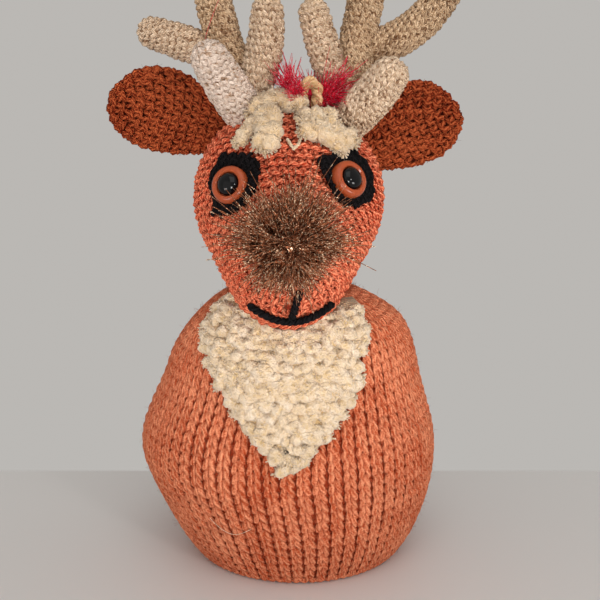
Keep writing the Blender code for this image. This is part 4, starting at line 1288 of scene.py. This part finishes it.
# %% [markdown]
# ## Eye patches
#
# The patches are crocheted in black wool, with a ragged outline, so they are covered with short strands
# that stand on the CAD patch and lean to one side and the other in turn.

# %% Stitch the patches
PATCH_STEP, PATCH_UNEVEN, PATCH_SLANT = 2.3 * MM, 0.25 * MM, 0.9
SHORT_HALF, SHORT_RADIUS = 2.0 * MM, 1.05 * MM  # of one short strand

t = np.linspace(-1, 1, 5)[:, None]
for side in ("left", "right"):
    node = f"eye_patch_{side}"
    random = np.random.default_rng(61)
    tree = surface(node)
    low, high = box_of(node)
    lines, ups = [], []
    for row in range(int((high[2] - low[2]) / PATCH_STEP) + 1):
        for column in range(int((high[0] - low[0]) / PATCH_STEP) + 1):
            x = low[0] + (column + 0.5 * (row % 2)) * PATCH_STEP + random.normal(0, PATCH_UNEVEN)
            z = low[2] + (row + 0.5) * PATCH_STEP + random.normal(0, PATCH_UNEVEN)
            hit = seen_from_front(tree, x, z, 0.2)
            if hit:
                place, normal = hit
                slant = PATCH_SLANT if column % 2 else -PATCH_SLANT
                run = np.array((math.cos(slant), 0, math.sin(slant)))
                run -= normal * (run @ normal)
                lines.append(place + run * t * SHORT_HALF + normal * (0.1 - t**2) * MM)
                ups.append([normal])
    radii = SHORT_RADIUS * np.array((0.7, 1, 1, 1, 0.7))
    base = build(f"{node}_cloth", [copy_of(node)], BLACK, node)
    strands = build(f"{node}_stitches", [tubes(np.array(lines), radii, np.array(ups), 6, 0.9)], BLACK)

# %% [markdown]
# ## Mouth
#
# The mouth is two lines of plaited black yarn on the muzzle: a smile, and a short line above it.

# %% Stitch the mouth
MOUTH_RADIUS, MOUTH_PITCH = 1.7 * MM, 5.5 * MM
MOUTH_LIFT = 0.2 * MM
# degrees round from the front, and up, along each line
MOUTH_LINES = {
    "mouth_smile": [(5 + 45 * s, -46 + 19 * s * s) for s in np.linspace(-1, 1, 17)],
    "mouth_line": [(11 - 6 * s, -12 - 30 * s) for s in np.linspace(0, 1, 6)],
}
for name, turns in MOUTH_LINES.items():
    far = MUZZLE_RADIUS + MOUTH_RADIUS + MOUTH_LIFT
    spots = [MUZZLE + far * direction_of(*turn) for turn in turns]
    build(f"{name}_plait", [plait(spots, MUZZLE, MOUTH_RADIUS, MOUTH_PITCH)], BLACK, name)

# %% [markdown]
# ## Tinsel
#
# Tinsel yarn throws out hundreds of thin glittering filaments. Each is a narrow tapered tube with a
# slight bend. A metal finish with little roughness makes them sparkle where they happen to face a lamp,
# and small spots of a pale colour are painted on them as painted glints. The pompom is dark brown with
# painted copper glints, and the tuft on the crown is red. Each stands on a plain ball, its core.

# %% Spin the tinsel
FILAMENT_CLEARANCE = 0.8 * MM


def tinsel_finish(name, slot, dark, light, painted_glint):
    finish = Finish(name, slot, 0.2, roughness=0.3, metallic=0.55)
    tone = (finish.speckle(500.0, 1.0) * 2.4 - 0.7).clamped()
    # painted glints: random spots take the pale glint colour, and are also a little glossier
    painted_glints_and_gloss = ((finish.speckle(1300.0, 0.0) - 0.62) * 14.0).clamped()
    finish.mottle(painted_glints_and_gloss, finish.blend(tone, dark, light), painted_glint)
    finish.feed("Roughness", painted_glints_and_gloss * -0.2 + 0.42)
    return finish


BROWN_TINSEL = tinsel_finish(
    "brown_tinsel_foil", "brown_tinsel", (0.045, 0.014, 0.007), (0.44, 0.150, 0.065), (1.0, 0.74, 0.50)
)
RED_TINSEL = tinsel_finish(
    "red_tinsel_foil", "red_tinsel", (0.36, 0.003, 0.016), (0.95, 0.010, 0.055), (1.0, 0.35, 0.42)
)


def filaments(random, starts, headings, reach, radius, bend=0.2, spots=4):
    """Thin bent filaments from the starts along the headings, kept off the head."""
    count = len(starts)
    length = (reach * random.uniform(0.75, 1.15, count))[:, None, None]
    t = np.linspace(0, 1, spots)[:, None]
    curl = random.normal(0, bend, (count, 1, 3)) * length
    lines = starts[:, None] + unit(headings)[:, None] * length * t + curl * t**2
    lines[:, 1:] = off_head(lines[:, 1:], FILAMENT_CLEARANCE)
    radii = radius * random.uniform(0.7, 1.3, (count, 1)) * (1 - 0.6 * t[:, 0])
    ups = np.cross(headings, random.normal(0, 1, (count, 3)))
    return tubes(lines, radii, ups[:, None], 3)


def core(name, centre, radius, finish, node):
    """A plain ball made with Blender's own operator, to stand filaments on."""
    bpy.ops.object.select_all(action="DESELECT")
    bpy.ops.mesh.primitive_ico_sphere_add(subdivisions=4, radius=radius, location=centre)
    piece = bpy.context.object
    piece.name = name
    bpy.ops.object.transform_apply(location=True)
    bpy.ops.object.shade_smooth()
    dress(piece, finish, node)


print("tinsel is ready")

# %% [markdown]
# The pompom is a burst of bundles, each of a few filaments that go nearly the same way. None goes
# straight back into the head. A quarter of them are longer, and those that point down are shorter.

# %% Make the nose
NOSE_CENTRE = MUZZLE + 33.0 * MM * direction_of(2, 25)
NOSE_FRONT = np.array((0, -1.0, 0.1))
NOSE_BUNDLES, EACH_BUNDLE = 300, 6
NOSE_START, NOSE_REACH, NOSE_LONG_REACH = 12 * MM, 16.5 * MM, 22 * MM
NOSE_CORE, NOSE_FOIL, BUNDLE_WIDTH = 11.0 * MM, 0.38 * MM, 0.9 * MM
# how far back a bundle may point, how many are long, and how far down and by how much they are shorter
FARTHEST_BACK, LONG_SHARE, LOW, LOW_LENGTH = -0.35, 0.25, -0.2, 0.68

random = np.random.default_rng(71)
headings = unit(random.normal(0, 1, (NOSE_BUNDLES * 3, 3)))
headings = headings[headings @ NOSE_FRONT > FARTHEST_BACK][:NOSE_BUNDLES]
starts = NOSE_CENTRE + headings * NOSE_START * random.uniform(0.4, 1.0, (len(headings), 1))
lengths = np.where(random.uniform(0, 1, len(headings)) < LONG_SHARE, NOSE_LONG_REACH, NOSE_REACH)
lengths *= np.where(headings[:, 2] < LOW, LOW_LENGTH, 1.0)
starts, headings, lengths = (np.repeat(v, EACH_BUNDLE, axis=0) for v in (starts, headings, lengths))
starts = starts + random.normal(0, BUNDLE_WIDTH, starts.shape)
headings = unit(headings + random.normal(0, 0.17, headings.shape))
core("nose_core", NOSE_CENTRE, NOSE_CORE, BROWN_TINSEL, "nose_pompom")
build("nose_filaments", [filaments(random, starts, headings, lengths, NOSE_FOIL)], BROWN_TINSEL)

# %% [markdown]
# The tuft is a few uneven bundles, which the table places one by one. One filament has strayed from it
# and lies over the left beam.

# %% Make the tuft
TUFT_CENTRE = placed((9.5, -19.0, 253.0))
TUFT_CORE, TUFT_FOIL, STRAY_FOIL = 6.0 * MM, 0.31 * MM, 0.11 * MM
ROOT_WIDTH = 1.6 * MM
# where each bundle springs from, which way it goes, how wide it spreads, how long it is, and how many
BUNDLES_MM = [
    ((0.0, -25.0, 254.0), (-0.2, -0.2, 1.0), 0.26, 16, 70),
    ((1.5, -32.0, 257.0), (-0.35, -0.6, 0.6), 0.5, 8, 130),
    ((3.5, -39.5, 254.0), (-0.2, -0.7, 0.35), 0.5, 6, 150),
    ((15.0, -28.0, 251.0), (0.45, -0.6, 0.3), 0.5, 7, 200),
    ((9.5, -27.0, 250.0), (0.0, -0.7, -0.35), 0.5, 6, 120),
    ((17.0, -27.0, 253.0), (0.85, -0.3, 0.45), 0.22, 23, 40),
    ((16.0, -26.0, 255.0), (0.45, -0.1, 0.9), 0.25, 20, 16),
    ((17.5, -28.0, 253.0), (0.6, -0.5, 0.45), 0.45, 11, 130),
    ((9.5, -21.0, 256.0), (0.1, 0.2, 1.0), 0.4, 9, 80),
]
STRAY_MM = [(-33, -21, 311), (-36, -23.5, 302), (-40, -24.5, 292), (-43, -24, 284), (-44, -21, 276)]

core("tuft_core", TUFT_CENTRE, TUFT_CORE, RED_TINSEL, "tinsel_tuft")
chunks = []
for place, heading, spread, reach, count in BUNDLES_MM:
    starts = placed(place) + random.normal(0, ROOT_WIDTH, (count, 3))
    headings = unit(unit(np.array(heading)) + random.normal(0, spread, (count, 3)))
    chunks.append(filaments(random, starts, headings, reach * MM, TUFT_FOIL))
chunks.append(tubes(evenly(placed(STRAY_MM), 16)[None], STRAY_FOIL, (0, -1.0, 0), 4))
build("tuft_filaments", chunks, RED_TINSEL)

# %% [markdown]
# ## Hem and selvedges
#
# The hem is a cast-on edge, a row of small bumps. Where the two panels part, each one's edge is a chain
# of stitches that rolls a little. Both are strands along the panels' own rims, with a small wave in them.

# %% Finish the edges
EDGE_RADIUS = 1.9 * MM
HEM_HEIGHT = 1.6 * MM
SELVEDGES = (0.004, 0.996)  # shares of the way across a panel


def edge_strand(skin, along, around, lift, pitch, wave):
    """A bumpy strand along a line of the panel's skin."""
    points, ups = skin.at(along, around, lift)
    phase = np.linspace(0, distances(points)[-1] / pitch * math.tau, len(points))
    points = points + ups * (wave * np.sin(phase))[:, None]
    return tubes(points[None], EDGE_RADIUS * (1 + 0.14 * np.cos(phase)), ups, 7)


for side, skin in skins.items():
    across = np.linspace(0.0, 1.0, 500)
    up = np.linspace(0.0, skin.length, 320)
    chunks = [edge_strand(skin, HEM_HEIGHT, across, lift=-2.2 * MM, pitch=4.1 * MM, wave=0.5 * MM)]
    for edge in SELVEDGES:
        chunks.append(edge_strand(skin, up, edge, lift=-2.1 * MM, pitch=5.7 * MM, wave=0.45 * MM))
    build(f"panel_{side}_edges", chunks, RUST)

# %% [markdown]
# ## Fuzz
#
# Wool is never quite smooth. Thin hairs stand off every knitted and crocheted surface and soften its
# outline. Each is a very thin tapered tube that leans at random. One long pale hair lies on the front
# panel.

# %% Raise some fuzz
HAIR_RADIUS, STRAY_RADIUS = 0.075 * MM, 0.14 * MM
HAIR_ROOT, STRAY_LIFT = -0.4 * MM, 0.7 * MM  # where they lie, out from the CAD surface
# piece, skin, how many hairs, how long, seed, finish
FUZZ_MM = [
    ("panel_front", skins["front"], 1100, 2.4, 81, RUST),
    ("panel_back", skins["back"], 900, 2.4, 82, RUST),
    ("head", head_skin, 600, 1.9, 83, RUST_HEAD),
    ("ear_left", ear_skins["left"], 180, 2.0, 84, RUST_EARS_SHADED),
    ("ear_right", ear_skins["right"], 180, 2.0, 84, RUST_EARS_SHADED),
]

t = np.linspace(0, 1, 24)
along = (46 - 7 * np.sin(math.pi * t**0.8) - 3 * t) * MM
points, ups = skins["front"].at(along, 0.325 + 0.09 * t, STRAY_LIFT)
build("stray_hair", [tubes(points[None], STRAY_RADIUS, ups, 4)], CREAM)

t = np.linspace(0, 1, 3)[:, None]
for name, skin, count, reach, seed, finish in FUZZ_MM:
    random = np.random.default_rng(seed)
    along = random.uniform(0, skin.length, count)
    starts, ups = skin.at(along, random.uniform(0, 1, count), HAIR_ROOT)
    headings = unit(ups * 0.8 + random.normal(0, 0.7, (count, 3)))
    length = reach * MM * random.uniform(0.5, 1.3, (count, 1, 1))
    lines = starts[:, None] + headings[:, None] * length * t
    lines = lines + random.normal(0, 0.3, (count, 1, 3)) * length * t**2
    build(f"{name}_fuzz", [tubes(lines, HAIR_RADIUS * (1 - 0.5 * t[:, 0]), ups[:, None], 3)], finish)
